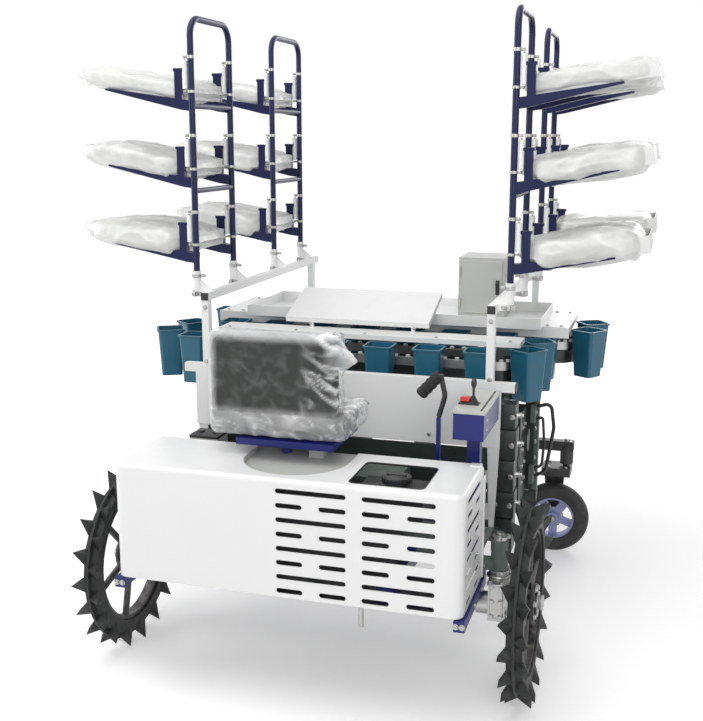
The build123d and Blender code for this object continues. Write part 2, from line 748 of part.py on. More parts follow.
def main():
    os.makedirs("parts", exist_ok=True)
    for name, shape in machine().items():
        export_step(Pos(*ORIGIN_SHIFT) * shape, f"parts/{name}.step")


main()
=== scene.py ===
import json
from math import cos, pi, radians, sin

import bmesh
import bpy
from bpy.props import FloatProperty, FloatVectorProperty, IntProperty, PointerProperty
from mathutils import Matrix, Vector, noise


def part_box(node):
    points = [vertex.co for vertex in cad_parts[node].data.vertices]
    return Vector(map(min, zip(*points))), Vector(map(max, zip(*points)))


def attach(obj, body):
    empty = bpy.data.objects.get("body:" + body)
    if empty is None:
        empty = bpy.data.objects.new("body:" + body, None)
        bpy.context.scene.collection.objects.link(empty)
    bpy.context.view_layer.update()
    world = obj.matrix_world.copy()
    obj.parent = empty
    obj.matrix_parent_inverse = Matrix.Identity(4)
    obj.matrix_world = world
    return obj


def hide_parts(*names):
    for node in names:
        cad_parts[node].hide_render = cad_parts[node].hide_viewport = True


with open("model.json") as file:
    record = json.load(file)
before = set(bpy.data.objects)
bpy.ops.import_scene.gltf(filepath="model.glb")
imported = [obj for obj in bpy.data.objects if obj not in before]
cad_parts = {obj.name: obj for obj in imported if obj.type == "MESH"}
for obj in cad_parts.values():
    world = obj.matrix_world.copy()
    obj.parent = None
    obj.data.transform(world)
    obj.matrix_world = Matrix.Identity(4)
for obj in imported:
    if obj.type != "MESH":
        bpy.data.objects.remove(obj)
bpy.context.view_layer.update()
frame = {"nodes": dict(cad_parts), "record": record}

bl_info = {
    "name": "Seedling transplanter dressing",
    "version": (1, 0, 0),
    "blender": (4, 5, 0),
    "location": "3D View > Sidebar > Transplanter",
    "description": "Finishes and detailed pieces of a riding seedling transplanter with cup carousels",
    "category": "Add Mesh",
}

MACHINE = "machine"
SIDES = (("right", 1), ("left", -1))
LADDERS = (("front", (0.402, 0.724)), ("rear", (1.150, 1.476)))
"""Places of the uprights behind the datum line."""
TIERS = ((1.817, 8), (1.560, 8), (1.303, 6))
"""Height of a tray's inner edge, and its slope in degrees."""


# ---------------------------------------------------------------- settings
def colour(name, description, value):
    return FloatVectorProperty(name=name, description=description, default=value, size=3,
                               subtype="COLOR", min=0, max=1)


def length(name, description, value):
    return FloatProperty(name=name, description=description, default=value, min=0, unit="LENGTH")


class StageSettings(bpy.types.PropertyGroup):
    eye_height: length("Eye height", "Height of the camera above the floor", 1.70)
    eye_back: length("Eye distance", "Distance of the camera in front of the origin", 3.5955)
    eye_side: length("Eye offset", "Distance of the camera to the right of the origin", 1.034)
    turn: FloatProperty(name="Turn", description="Camera's turn to the left", default=radians(16.85),
                        subtype="ANGLE")
    tilt: FloatProperty(name="Tilt", description="Camera's tilt down", default=radians(12.0), subtype="ANGLE")
    lens: FloatProperty(name="Lens", description="Focal length", default=52.98, unit="CAMERA")
    key: FloatProperty(name="Key lamp", description="Power of the large lamp overhead", default=112,
                       unit="POWER")
    fill: FloatProperty(name="Fill lamps", description="Power of the lamps at the sides", default=62,
                        unit="POWER")
    sky: FloatProperty(name="Sky", description="Strength of the even light all round", default=0.42)
    floor: colour("Floor", "Colour of the floor", (0.9, 0.9, 0.9))


class PaintSettings(bpy.types.PropertyGroup):
    white: colour("White", "Sheet metal and square tubes", (0.83, 0.84, 0.83))
    navy: colour("Navy", "Ladders", (0.007, 0.010, 0.058))
    violet: colour("Violet blue", "Seat plate, control box and frame", (0.011, 0.017, 0.155))
    teal: colour("Teal", "Cups", (0.012, 0.115, 0.19))
    grey_green: colour("Grey green", "Legs and gearbox", (0.105, 0.135, 0.118))
    rubber: colour("Rubber", "Drive tyres", (0.022, 0.025, 0.024))
    seat: colour("Seat", "Seat cover", (0.018, 0.022, 0.018))
    lilac: colour("Lilac", "Castor rims", (0.33, 0.34, 0.62))
    label: colour("Blue plate", "Blank plate under the hood's window", (0.03, 0.24, 0.55))


class SizeSettings(bpy.types.PropertyGroup):
    tray_x: length("Tray inner edge", "Distance of the trays' inner edges from the middle", 0.578)
    tray_length: length("Tray length", "Length of a tray, outwards", 0.394)
    tray_width: length("Tray width", "Width of a tray", 0.288)
    tray_depth: length("Tray depth", "Depth of a tray", 0.055)
    film_rings: IntProperty(name="Film rings", description="Sections along a film bag", default=64, min=8)
    film_around: IntProperty(name="Film points", description="Points round a film bag", default=84, min=12)


# ---------------------------------------------------------------- shader groups
def add(tree, kind, **settings):
    node = tree.nodes.new(kind)
    for key, value in settings.items():
        setattr(node, key, value)
    return node


def group_tree(name, inputs, outputs):
    """An empty shader group with the given inputs (name, kind, default) and outputs (name, kind)."""
    tree = bpy.data.node_groups.new(name, "ShaderNodeTree")
    for label, kind, value in inputs:
        socket = tree.interface.new_socket(label, in_out="INPUT", socket_type=kind)
        socket.default_value = value
    for label, kind in outputs:
        tree.interface.new_socket(label, in_out="OUTPUT", socket_type=kind)
    return tree, add(tree, "NodeGroupInput"), add(tree, "NodeGroupOutput")


def noise_at(tree, vector, scale, detail=3.0, roughness=0.55):
    node = add(tree, "ShaderNodeTexNoise")
    tree.links.new(vector, node.inputs["Vector"])
    if hasattr(scale, "is_linked"):
        tree.links.new(scale, node.inputs["Scale"])
    else:
        node.inputs["Scale"].default_value = scale
    node.inputs["Detail"].default_value = detail
    node.inputs["Roughness"].default_value = roughness
    return node.outputs["Fac"]


def spread(tree, value, low, high, to_low=0.0, to_high=1.0):
    """Stretches a value between two limits, clamped."""
    node = add(tree, "ShaderNodeMapRange", clamp=True)
    tree.links.new(value, node.inputs["Value"])
    for key, number in (("From Min", low), ("From Max", high), ("To Min", to_low), ("To Max", to_high)):
        if hasattr(number, "is_linked"):
            tree.links.new(number, node.inputs[key])
        else:
            node.inputs[key].default_value = number
    return node.outputs["Result"]


def arithmetic(tree, operation, a, b):
    node = add(tree, "ShaderNodeMath", operation=operation)
    for place, value in enumerate((a, b)):
        if hasattr(value, "is_linked"):
            tree.links.new(value, node.inputs[place])
        else:
            node.inputs[place].default_value = value
    return node.outputs["Value"]


def mix_colour(tree, factor, a, b):
    node = add(tree, "ShaderNodeMix", data_type="RGBA")
    for place, value in ((0, factor), (6, a), (7, b)):
        if hasattr(value, "is_linked"):
            tree.links.new(value, node.inputs[place])
        else:
            node.inputs[place].default_value = value
    return node.outputs[2]


def surface_group():
    """Uneven colour and gloss, dust that settles on upward faces and low down, and a fine grain."""
    tree, inside, outside = group_tree(
        "Uneven finish",
        (("Color", "NodeSocketColor", (0.8, 0.8, 0.8, 1)),
         ("Dust Color", "NodeSocketColor", (0.5, 0.48, 0.43, 1)),
         ("Dust", "NodeSocketFloat", 0.2), ("Patch Scale", "NodeSocketFloat", 4.0),
         ("Grain Scale", "NodeSocketFloat", 300.0), ("Roughness", "NodeSocketFloat", 0.4),
         ("Contrast", "NodeSocketFloat", 0.08)),
        (("Color", "NodeSocketColor"), ("Roughness", "NodeSocketFloat"), ("Height", "NodeSocketFloat")))
    place = add(tree, "ShaderNodeTexCoord").outputs["Object"]
    patches = noise_at(tree, place, inside.outputs["Patch Scale"], 4.0)
    grain = noise_at(tree, place, inside.outputs["Grain Scale"], 2.0)
    shade = arithmetic(tree, "MULTIPLY", arithmetic(tree, "SUBTRACT", patches, 0.5),
                       inside.outputs["Contrast"])
    darker = add(tree, "ShaderNodeHueSaturation")
    tree.links.new(inside.outputs["Color"], darker.inputs["Color"])
    tree.links.new(arithmetic(tree, "ADD", shade, 1.0), darker.inputs["Value"])
    normal = add(tree, "ShaderNodeSeparateXYZ")
    tree.links.new(add(tree, "ShaderNodeNewGeometry").outputs["Normal"], normal.inputs[0])
    upward = spread(tree, normal.outputs["Z"], 0.2, 1.0)
    height = add(tree, "ShaderNodeSeparateXYZ")
    tree.links.new(place, height.inputs[0])
    low_down = spread(tree, height.outputs["Z"], 0.45, 0.0)
    settled = arithmetic(tree, "ADD", arithmetic(tree, "MULTIPLY", upward, 0.6), low_down)
    specks = spread(tree, noise_at(tree, place, 28.0, 6.0, 0.65), 0.42, 0.7)
    dust = arithmetic(tree, "MULTIPLY", arithmetic(tree, "MULTIPLY", settled, specks), inside.outputs["Dust"])
    tree.links.new(mix_colour(tree, dust, darker.outputs["Color"], inside.outputs["Dust Color"]),
                   outside.inputs["Color"])
    gloss = arithmetic(tree, "ADD", inside.outputs["Roughness"], arithmetic(tree, "MULTIPLY", shade, 1.2))
    tree.links.new(arithmetic(tree, "ADD", gloss, arithmetic(tree, "MULTIPLY", dust, 0.4)),
                   outside.inputs["Roughness"])
    tree.links.new(arithmetic(tree, "ADD", grain, arithmetic(tree, "MULTIPLY", patches, 2.0)),
                   outside.inputs["Height"])
    return tree


def film_group():
    """How much thin film covers what lies behind it, from the piece's own creases, and a fine height."""
    tree, inside, outside = group_tree(
        "Film cover", (("Clear", "NodeSocketFloat", 0.1), ("Milky", "NodeSocketFloat", 0.8),
                       ("Scale", "NodeSocketFloat", 40.0)),
        (("Cover", "NodeSocketFloat"), ("Height", "NodeSocketFloat")))
    place = add(tree, "ShaderNodeTexCoord").outputs["Object"]
    creased = add(tree, "ShaderNodeAttribute", attribute_name="milky").outputs["Fac"]
    uneven = spread(tree, noise_at(tree, place, inside.outputs["Scale"], 4.0, 0.6), 0.35, 0.65, -0.05, 0.05)
    cover = arithmetic(tree, "ADD", creased, uneven)
    tree.links.new(spread(tree, cover, 0.0, 1.0, inside.outputs["Clear"], inside.outputs["Milky"]),
                   outside.inputs["Cover"])
    wave = arithmetic(tree, "SUBTRACT", noise_at(tree, place, inside.outputs["Scale"], 3.0), 0.5)
    tree.links.new(arithmetic(tree, "ABSOLUTE", wave, 0.0), outside.inputs["Height"])
    return tree


GROUPS = {}


def shader_group(name):
    """The named shader group, built the first time that it is asked for."""
    makers = {"surface": surface_group, "film": film_group}
    if name not in GROUPS:
        GROUPS[name] = makers[name]()
    return GROUPS[name]


def finish_material(name, base, roughness, dust=0.15, contrast=0.08, patch=4.0, grain=300.0, bump=0.05,
                    metallic=0.0, coat=0.0, bevel=0.0015, dust_colour=(0.5, 0.48, 0.43), specular=0.5):
    """A painted, moulded or metal finish with an uneven surface."""
    material = bpy.data.materials.new(name)
    material.use_nodes = True
    tree = material.node_tree
    shader = tree.nodes["Principled BSDF"]
    group = add(tree, "ShaderNodeGroup", node_tree=shader_group("surface"))
    for key, value in (("Color", (*base, 1)), ("Dust Color", (*dust_colour, 1)), ("Dust", dust),
                       ("Patch Scale", patch), ("Grain Scale", grain), ("Roughness", roughness),
                       ("Contrast", contrast)):
        group.inputs[key].default_value = value
    tree.links.new(group.outputs["Color"], shader.inputs["Base Color"])
    tree.links.new(group.outputs["Roughness"], shader.inputs["Roughness"])
    shader.inputs["Metallic"].default_value = metallic
    shader.inputs["Coat Weight"].default_value = coat
    shader.inputs["Coat Roughness"].default_value = 0.15
    shader.inputs["Specular IOR Level"].default_value = specular
    relief = add(tree, "ShaderNodeBump")
    relief.inputs["Strength"].default_value = bump
    relief.inputs["Distance"].default_value = 0.002
    tree.links.new(group.outputs["Height"], relief.inputs["Height"])
    if bevel:
        soft = add(tree, "ShaderNodeBevel", samples=4)
        soft.inputs["Radius"].default_value = bevel
        tree.links.new(soft.outputs["Normal"], relief.inputs["Normal"])
    tree.links.new(relief.outputs["Normal"], shader.inputs["Normal"])
    return material


def film_material(name, base, clear, milky, scale, roughness):
    """Thin plastic film: clear where it lies smooth, milky on its creases and where it is seen edge on."""
    material = bpy.data.materials.new(name)
    material.use_nodes = True
    tree = material.node_tree
    shader = tree.nodes["Principled BSDF"]
    film = add(tree, "ShaderNodeGroup", node_tree=shader_group("film"))
    for key, value in (("Clear", clear), ("Milky", milky), ("Scale", scale)):
        film.inputs[key].default_value = value
    shader.inputs["Base Color"].default_value = (*base, 1)
    shader.inputs["Roughness"].default_value = roughness
    shader.inputs["Specular IOR Level"].default_value = 0.6
    edge_on = add(tree, "ShaderNodeLayerWeight")
    edge_on.inputs["Blend"].default_value = 0.5
    rim = arithmetic(tree, "MULTIPLY", arithmetic(tree, "POWER", edge_on.outputs["Facing"], 3.0), 0.7 * milky)
    tree.links.new(arithmetic(tree, "MAXIMUM", film.outputs["Cover"], rim), shader.inputs["Alpha"])
    relief = add(tree, "ShaderNodeBump")
    relief.inputs["Strength"].default_value = 0.3
    relief.inputs["Distance"].default_value = 0.002
    tree.links.new(film.outputs["Height"], relief.inputs["Height"])
    tree.links.new(relief.outputs["Normal"], shader.inputs["Normal"])
    return material


MATERIALS = {}


def material(name):
    """One of the machine's finishes, built the first time that it is asked for."""
    paint = bpy.context.scene.transplanter_paint
    recipes = {
        "white_sheet": lambda: finish_material("White sheet", paint.white, 0.34, dust=0.1, contrast=0.03,
                                               bump=0.02, coat=0.25),
        "white_frame": lambda: finish_material("White tube", paint.white, 0.38, dust=0.12, contrast=0.05),
        "navy_paint": lambda: finish_material("Navy paint", paint.navy, 0.34, dust=0.03, contrast=0.3,
                                              specular=0.3),
        "violet_blue_paint": lambda: finish_material("Violet blue paint", paint.violet, 0.35, dust=0.05,
                                                     contrast=0.2, coat=0.1, specular=0.35),
        "grey_green_paint": lambda: finish_material("Grey green paint", paint.grey_green, 0.45, dust=0.35,
                                                    contrast=0.3),
        # A darker copy of the grey green paint: painted shade for parts that lie in shadow.
        "shaded_green": lambda: finish_material("Green paint with painted shade", (0.022, 0.03, 0.027), 0.4, dust=0.2,
                                                contrast=0.6, patch=7.0, bump=0.1),
        "black_paint": lambda: finish_material("Black paint", (0.018, 0.018, 0.02), 0.42, dust=0.3,
                                               contrast=0.3),
        "grey_paint": lambda: finish_material("Grey paint", (0.52, 0.53, 0.5), 0.4, dust=0.15, contrast=0.06),
        "cup_plastic": lambda: finish_material("Cup plastic", paint.teal, 0.36, dust=0.06, contrast=0.35,
                                               patch=9.0, bump=0.03),
        "tray_plastic": lambda: finish_material("Tray plastic", (0.78, 0.79, 0.77), 0.4, dust=0.08,
                                                contrast=0.05),
        "seat_vinyl": lambda: finish_material("Seat vinyl", paint.seat, 0.55, dust=0.2, contrast=0.25,
                                              bump=0.15,
                                              grain=700.0),
        "seat_shell": lambda: finish_material("Seat shell", paint.seat, 0.5, dust=0.05, contrast=0.2,
                                              bump=0.03,
                                              grain=420.0, specular=0.25),
        "seat_film": lambda: film_material("Seat film", (0.9, 0.91, 0.91), 0.03, 0.95, 24.0, 0.16),
        "tray_film": lambda: film_material("Tray film", (0.84, 0.85, 0.82), 0.3, 0.97, 20.0, 0.28),
        "white_nylon": lambda: finish_material("White nylon", (0.74, 0.74, 0.71), 0.45, dust=0.1),
        "foam": lambda: finish_material("Foam grip", (0.016, 0.016, 0.017), 0.8, dust=0.1, contrast=0.3,
                                        bump=0.35,
                                        grain=900.0),
        "red_switch": lambda: finish_material("Red switch", (0.62, 0.03, 0.025), 0.3, dust=0.05, coat=0.3),
        "drive_rubber": lambda: finish_material("Drive rubber", paint.rubber, 0.55, dust=0.3, contrast=0.5,
                                                patch=14.0, bump=0.2, dust_colour=(0.2, 0.21, 0.19),
                                                specular=0.3),
        "castor_rubber": lambda: finish_material("Castor rubber", (0.02, 0.02, 0.02), 0.6, dust=0.35,
                                                 contrast=0.4, patch=14.0, bump=0.15,
                                                 dust_colour=(0.16, 0.16, 0.15)),
        "castor_rim_paint": lambda: finish_material("Lilac rim paint", paint.lilac, 0.38, dust=0.2),
        "black_plastic": lambda: finish_material("Black plastic", (0.02, 0.02, 0.021), 0.45, dust=0.2,
                                                 contrast=0.3, bump=0.1, grain=500.0),
        "label_blue": lambda: finish_material("Blue plate", paint.label, 0.4, dust=0.1),
        "bare_steel": lambda: finish_material("Bare steel", (0.42, 0.42, 0.41), 0.35, dust=0.15, contrast=0.3,
                                              metallic=1.0),
        "engine_iron": lambda: finish_material("Engine iron", (0.05, 0.05, 0.052), 0.6, dust=0.3,
                                               contrast=0.4,
                                               bump=0.3, grain=160.0),
    }
    if name not in MATERIALS:
        MATERIALS[name] = recipes[name]()
    return MATERIALS[name]


# ---------------------------------------------------------------- stage
def soft_lamp(name, place, aim, size, power):
    data = bpy.data.lights.new(name, "AREA")
    data.shape = "RECTANGLE"
    data.size, data.size_y = size
    data.energy = power
    lamp = bpy.data.objects.new(name, data)
    lamp.location = place
    lamp.rotation_euler = (Vector(aim) - Vector(place)).to_track_quat("-Z", "Y").to_euler()
    bpy.context.scene.collection.objects.link(lamp)
    return lamp


def seen_ray(tree):
    """1 where the camera, a reflection or glass looks, and 0 for the light that falls on the object."""
    path = add(tree, "ShaderNodeLightPath")
    seen = arithmetic(tree, "MAXIMUM", path.outputs["Is Camera Ray"], path.outputs["Is Glossy Ray"])
    return arithmetic(tree, "MAXIMUM", seen, path.outputs["Is Transmission Ray"])


class TRANSPLANTER_OT_stage(bpy.types.Operator):
    """Camera, lamps, even sky and a pale floor"""
    bl_idname = "transplanter.stage"
    bl_label = "Stage"

    def execute(self, context):
        s = context.scene.transplanter_stage
        data = bpy.data.cameras.new("Camera")
        data.lens = s.lens
        camera = bpy.data.objects.new("Camera", data)
        camera.location = (s.eye_side, -s.eye_back, s.eye_height)
        camera.rotation_euler = (pi / 2 - s.tilt, 0, s.turn)
        context.scene.collection.objects.link(camera)
        context.scene.camera = camera
        context.scene.view_settings.view_transform = "Standard"
        soft_lamp("Key lamp", (-0.8, -1.6, 4.6), (0, 0, 0.8), (4.0, 4.0), s.key)
        soft_lamp("Front lamp", (2.2, -4.6, 2.6), (0, 0, 0.9), (3.0, 2.4), s.fill)
        soft_lamp("Left lamp", (-4.4, -1.2, 2.4), (0, 0, 0.9), (2.6, 2.6), s.fill)
        soft_lamp("Back lamp", (1.5, 4.4, 2.8), (0, 0, 0.9), (3.0, 2.4), s.fill)
        self.sky(context, s.sky)
        self.floor(s.floor)
        return {"FINISHED"}

    def sky(self, context, strength):
        world = bpy.data.worlds.new("Sky")
        context.scene.world = world
        world.use_nodes = True
        tree = world.node_tree
        background = tree.nodes["Background"]
        background.inputs["Color"].default_value = (1, 1, 1, 1)
        level = spread(tree, seen_ray(tree), 0, 1, strength, 1.0)
        tree.links.new(level, background.inputs["Strength"])

    def floor(self, paint):
        bm = bmesh.new()
        bmesh.ops.create_grid(bm, x_segments=1, y_segments=1, size=14)
        mesh = bpy.data.meshes.new("Floor")
        bm.to_mesh(mesh)
        bm.free()
        floor = bpy.data.objects.new("Floor", mesh)
        bpy.context.scene.collection.objects.link(floor)
        surface = bpy.data.materials.new("Floor")
        surface.use_nodes = True
        tree = surface.node_tree
        shader = tree.nodes["Principled BSDF"]
        shader.inputs["Base Color"].default_value = (*paint, 1)
        shader.inputs["Roughness"].default_value = 0.9
        shader.inputs["Specular IOR Level"].default_value = 0.1
        shader.inputs["Emission Color"].default_value = (1, 1, 1, 1)
        place = add(tree, "ShaderNodeTexCoord").outputs["Object"]
        away = add(tree, "ShaderNodeVectorMath", operation="LENGTH")
        tree.links.new(place, away.inputs[0])
        strength = spread(tree, away.outputs["Value"], 1.5, 5.0, 0.3, 0.75)
        glow = arithmetic(tree, "MULTIPLY", seen_ray(tree), strength)
        tree.links.new(glow, shader.inputs["Emission Strength"])
        mesh.materials.append(surface)


DARKER = {"planter_drive": "shaded_green", "chassis_members": "shaded_green", "lower_shield": "shaded_green",
          "carousel_bed_front": "shaded_green", "carousel_bed_rear": "shaded_green"}
# Parts low in the machine whose green paint is darkened to a painted shade, for the shadow that they lie in.
"""Parts whose green paint is stained dark with oil."""


class TRANSPLANTER_OT_frame_finishes(bpy.types.Operator):
    """Gives every part of the construction the finish of its material slot, and the parts in DARKER the
    darker green with painted shade
    """
    bl_idname = "transplanter.frame_finishes"
    bl_label = "Frame finishes"

    def execute(self, context):
        for part in frame["record"]["subparts"]:
            node = frame["nodes"][part["node"]]
            node.data.materials.clear()
            node.data.materials.append(material(DARKER.get(part["node"], part["material_slot"])))
        return {"FINISHED"}


# ---------------------------------------------------------------- mesh helpers
DATUM = sum(corner[1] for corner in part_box("drive_tyre_right")) / 2 - 0.08
"""Y of the line just ahead of the hood's rear edge, which the places along Y below are measured from."""


def at(x, y, z):
    """A point given by its distance behind the hood's datum line."""
    return Vector((x, y + DATUM, z))


def facing(direction, place=(0, 0, 0)):
    """Matrix that turns +Z to a direction and moves the origin to a place."""
    return Matrix.Translation(place) @ Vector(direction).to_track_quat("Z", "Y").to_matrix().to_4x4()


def lathe(bm, profile, matrix, steps=20):
    """Turns a profile of (radius, height) round +Z, then moves it by the matrix."""
    before = set(bm.verts)
    verts = [bm.verts.new((radius, 0, height)) for radius, height in profile]
    edges = [bm.edges.new(pair) for pair in zip(verts, verts[1:])]
    bmesh.ops.spin(bm, geom=verts + edges, cent=(0, 0, 0), axis=(0, 0, 1), angle=2 * pi, steps=steps,
                   use_merge=True, use_duplicate=False)
    made = [v for v in bm.verts if v not in before]
    bmesh.ops.remove_doubles(bm, verts=made, dist=1e-6)
    made = [v for v in bm.verts if v not in before]
    bmesh.ops.transform(bm, matrix=matrix, verts=made)
    return made


def box(bm, low, high, matrix=Matrix(), edge=0.0015, segments=1):
    """A block with bevelled edges between two corners."""
    size = [h - l for l, h in zip(low, high)]
    middle = Matrix.Translation([(l + h) / 2 for l, h in zip(low, high)])
    made = bmesh.ops.create_cube(bm, size=1, matrix=matrix @ middle @ Matrix.Diagonal((*size, 1)))["verts"]
    if edge:
        edges = list({e for v in made for e in v.link_edges})
        made = bmesh.ops.bevel(bm, geom=edges, offset=edge, segments=segments, profile=0.5, affect="EDGES",
                               material=-1)["verts"]
    return made


def bolt(bm, place, direction, size=0.008, washer=True):
    """Hexagon head with a chamfer on a round washer; size is the thread's diameter."""
    matrix = facing(direction, place)
    if washer:
        lathe(bm, ((0, 0.0016), (size * 1.1, 0.0016), (size * 1.15, 0.0012), (size * 1.15, -0.001),
                   (0, -0.001)),
              matrix, 16)
    depth = size * 0.62
    head = bmesh.ops.create_cone(bm, cap_ends=True, segments=6, radius1=size * 0.92, radius2=size * 0.92,
                                 depth=depth, matrix=matrix @ Matrix.Translation((0, 0, depth / 2 + 0.0012)))
    edges = list({e for v in head["verts"] for e in v.link_edges})
    bmesh.ops.bevel(bm, geom=edges, offset=size * 0.1, segments=1, profile=0.5, affect="EDGES", material=-1)


def sleeve(bm, bottom, top, outer, inner, steps=20):
    """A tube with a bore and rounded ends, from one point to another."""
    bottom, top = Vector(bottom), Vector(top)
    high = (top - bottom).length
    lip = min(0.0012, (outer - inner) / 3)
    profile = ((inner, 0.002), (inner, lip), (inner + lip, 0), (outer - lip, 0), (outer, lip),
               (outer, high - lip), (outer - lip, high), (inner + lip, high), (inner, high - lip),
                (inner, 0.002))
    lathe(bm, profile, facing(top - bottom, bottom), steps)


def ring_clamp(bm, place, outer, inner, height, ear, ear_size=0.012):
    """Split ring round an upright tube, with a bolted ear towards a direction."""
    sleeve(bm, Vector(place) - Vector((0, 0, height / 2)), Vector(place) + Vector((0, 0, height / 2)),
           outer, inner)
    ear = Vector(ear).normalized()
    side = ear.cross(Vector((0, 0, 1)))
    matrix = Matrix.Translation(place) @ Matrix((ear, side, (0, 0, 1))).transposed().to_4x4()
    box(bm, (outer - 0.002, -0.006, -height / 2 + 0.001), (outer + ear_size, 0.006, height / 2 - 0.001),
        matrix)
    bolt(bm, matrix @ Vector((outer + ear_size * 0.55, 0.006, 0)), side, 0.005, washer=False)
    bolt(bm, matrix @ Vector((outer + ear_size * 0.55, -0.006, 0)), -side, 0.005, washer=False)


def new_object(name, bm):
    """Puts the mesh into the scene as an object."""
    mesh = bpy.data.meshes.new(name)
    bm.to_mesh(mesh)
    bm.free()
    made = bpy.data.objects.new(name, mesh)
    bpy.context.scene.collection.objects.link(made)
    return made


def piece(name, bm, slot, body=MACHINE, angle=35, finish=None):
    """Makes an object of the mesh, gives it its finish and lets it ride on a body."""
    bmesh.ops.recalc_face_normals(bm, faces=bm.faces)
    made = new_object(name, bm)
    made.data.shade_smooth()
    made.data.set_sharp_from_angle(angle=radians(angle))
    made.data.materials.append(material(finish or slot))
    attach(made, body)
    return made


def ridges(point, scale, seed):
    """Creased noise: 1 along thin crests, falling away to both sides."""
    value = noise.noise(Vector(point) * scale + Vector((seed * 7.3, seed * 3.1, seed * 5.7)))
    return 1 - min(1, 2.6 * abs(value))


# ---------------------------------------------------------------- film round the trays
FILM_SHAPES = {
    ("left", 1): (0.060, 0.004, 0.000, 0.80, -0.080),
    ("left", 2): (0.052, 0.010, 0.026, 0.62, -0.060),
    ("left", 3): (0.058, 0.018, 0.026, 0.80, -0.065),
    ("right", 1): (0.004, 0.010, 0.010, 0.25, 0.0),
    ("right", 2): (-0.002, 0.016, 0.026, 0.20, 0.02),
    ("right", 3): (-0.014, 0.026, 0.030, 0.35, -0.02),
}
"""By side and level: reach of the bag past the tray, height of its slack, how deep it hangs over the
tray's arms, how far its end narrows, and how far the end swings sideways."""


FILM_LIP = 0.012
"""How far a bag reaches past the tray's inner edge."""
BROAD, MEDIUM, FINE = 7.5, 19, 46
"""Folds, wrinkles and creases of a bag per metre."""


def film_section(reach, seed, s, shape):
    """Half width, underside and top of a film bag at a distance from the tray's inner edge."""
    tail, slack, droop, narrow = shape[:4]
    half, depth = s.tray_width / 2, s.tray_depth
    past = min(1, max(0, reach - s.tray_length + 0.05) / (tail + 0.05))
    start = min(1, (reach + FILM_LIP) / 0.03)
    along = min(1, max(0, reach / s.tray_length))
    over_arms = min(1, max(0, (reach - 0.034) / 0.03)) * (1 if droop > 0.02 else 0)
    puff = sin(pi * along) ** 0.7
    uneven = 0.75 + 0.35 * sin(seed * 1.3 + 5 * along)
    width = (half + 0.005 + 0.028 * over_arms * (1 - along ** 3)) * (1 - narrow * past ** 1.6)
    hang = over_arms * droop * (1 - 0.45 * along) + (1 - over_arms) * 0.3 * droop * along
    under = -0.003 - hang * (0.85 + 0.15 * sin(seed + 9 * along))
    over = depth + 0.003 + slack * puff * uneven
    middle = depth * (0.45 + 0.25 * past)
    open_by = start * (1 - past ** (2.6 - 2 * narrow)) + 0.03
    return width, middle + (under - middle) * open_by, middle + (over - middle) * open_by, past


def film_bag(seed, s, shape):
    """Crumpled bag of thin film over a tray, its inner edge at x = 0 and its tail outwards."""
    bm = bmesh.new()
    milky = bm.verts.layers.float.new("milky")
    rings, around = s.film_rings, s.film_around
    whole = s.tray_length + shape[0] + FILM_LIP
    loops = []
    for i in range(rings):
        reach = -FILM_LIP + whole * i / (rings - 1)
        half, under, over, past = film_section(reach, seed, s, shape)
        middle, high = (under + over) / 2, (over - under) / 2
        loop = []
        for k in range(around):
            a = 2 * pi * k / around
            c, d = cos(a), sin(a)
            bulge = (abs(c) ** 4 + abs(d) ** 4) ** (-1 / 4)
            base = Vector((reach, half * c * bulge + shape[4] * past ** 1.5, middle + high * d * bulge))
            out = Vector((0.1 * d, c, d * 1.2)).normalized()
            slant = base.y + 0.45 * base.x * (1 if seed % 2 else -1)
            broad = ridges(Vector((base.x * 0.4, slant, base.z)), BROAD, seed)
            medium = ridges(Vector((base.x * 0.35 + base.y * 0.2, base.y - 0.3 * base.x, base.z)), MEDIUM,
                            seed + 3)
            fine = ridges(Vector((base.x * 0.5, base.y, base.z)), FINE, seed + 5)
            crease = 0.009 * broad ** 1.5 + 0.004 * medium ** 2 + 0.0010 * fine
            tug = 0.3 + 0.7 * min(1, high / 0.02)
            v = bm.verts.new(base + out * crease * tug)
            v[milky] = min(1, 0.42 + 0.25 * broad ** 2 + 0.25 * medium ** 3 + 0.1 * fine ** 3 + 0.25 * past)
            loop.append(v)
        loops.append(loop)
    for a, b in zip(loops, loops[1:]):
        for k in range(around):
            bm.faces.new((a[k], a[(k + 1) % around], b[(k + 1) % around], b[k]))
    return bm


class TRANSPLANTER_OT_tray_film(bpy.types.Operator):
    """Bags of thin film that wrap the seedling trays"""
    bl_idname = "transplanter.tray_film"
    bl_label = "Tray film"

    def execute(self, context):
        s = context.scene.transplanter_sizes
        seed = 1
        for side_name, side in SIDES:
            for row, (first, second) in LADDERS:
                for level, (height, slope) in enumerate(TIERS):
                    shape = FILM_SHAPES[side_name, level + 1]
                    bm = film_bag(seed, s, shape)
                    turn = Matrix.Rotation(radians(-slope), 4, "Y")
                    place = Matrix.Translation(at(s.tray_x, (first + second) / 2, height))
                    bmesh.ops.transform(bm, matrix=Matrix.Diagonal((side, 1, 1, 1)) @ place @ turn,
                                        verts=bm.verts)
                    made = piece(f"tray_film_{side_name}_{row}_{level + 1}", bm, "tray_plastic", angle=75,
                                 finish="tray_film")
                    seed += 1
        return {"FINISHED"}


# ---------------------------------------------------------------- seat
VOXEL = 0.006
PAD_PRESSURE, PAD_LIMIT, PAD_FRAMES = 4.0, 0.010, 20
"""Pressure in a pad, how far it may move a point, and how many frames it takes."""


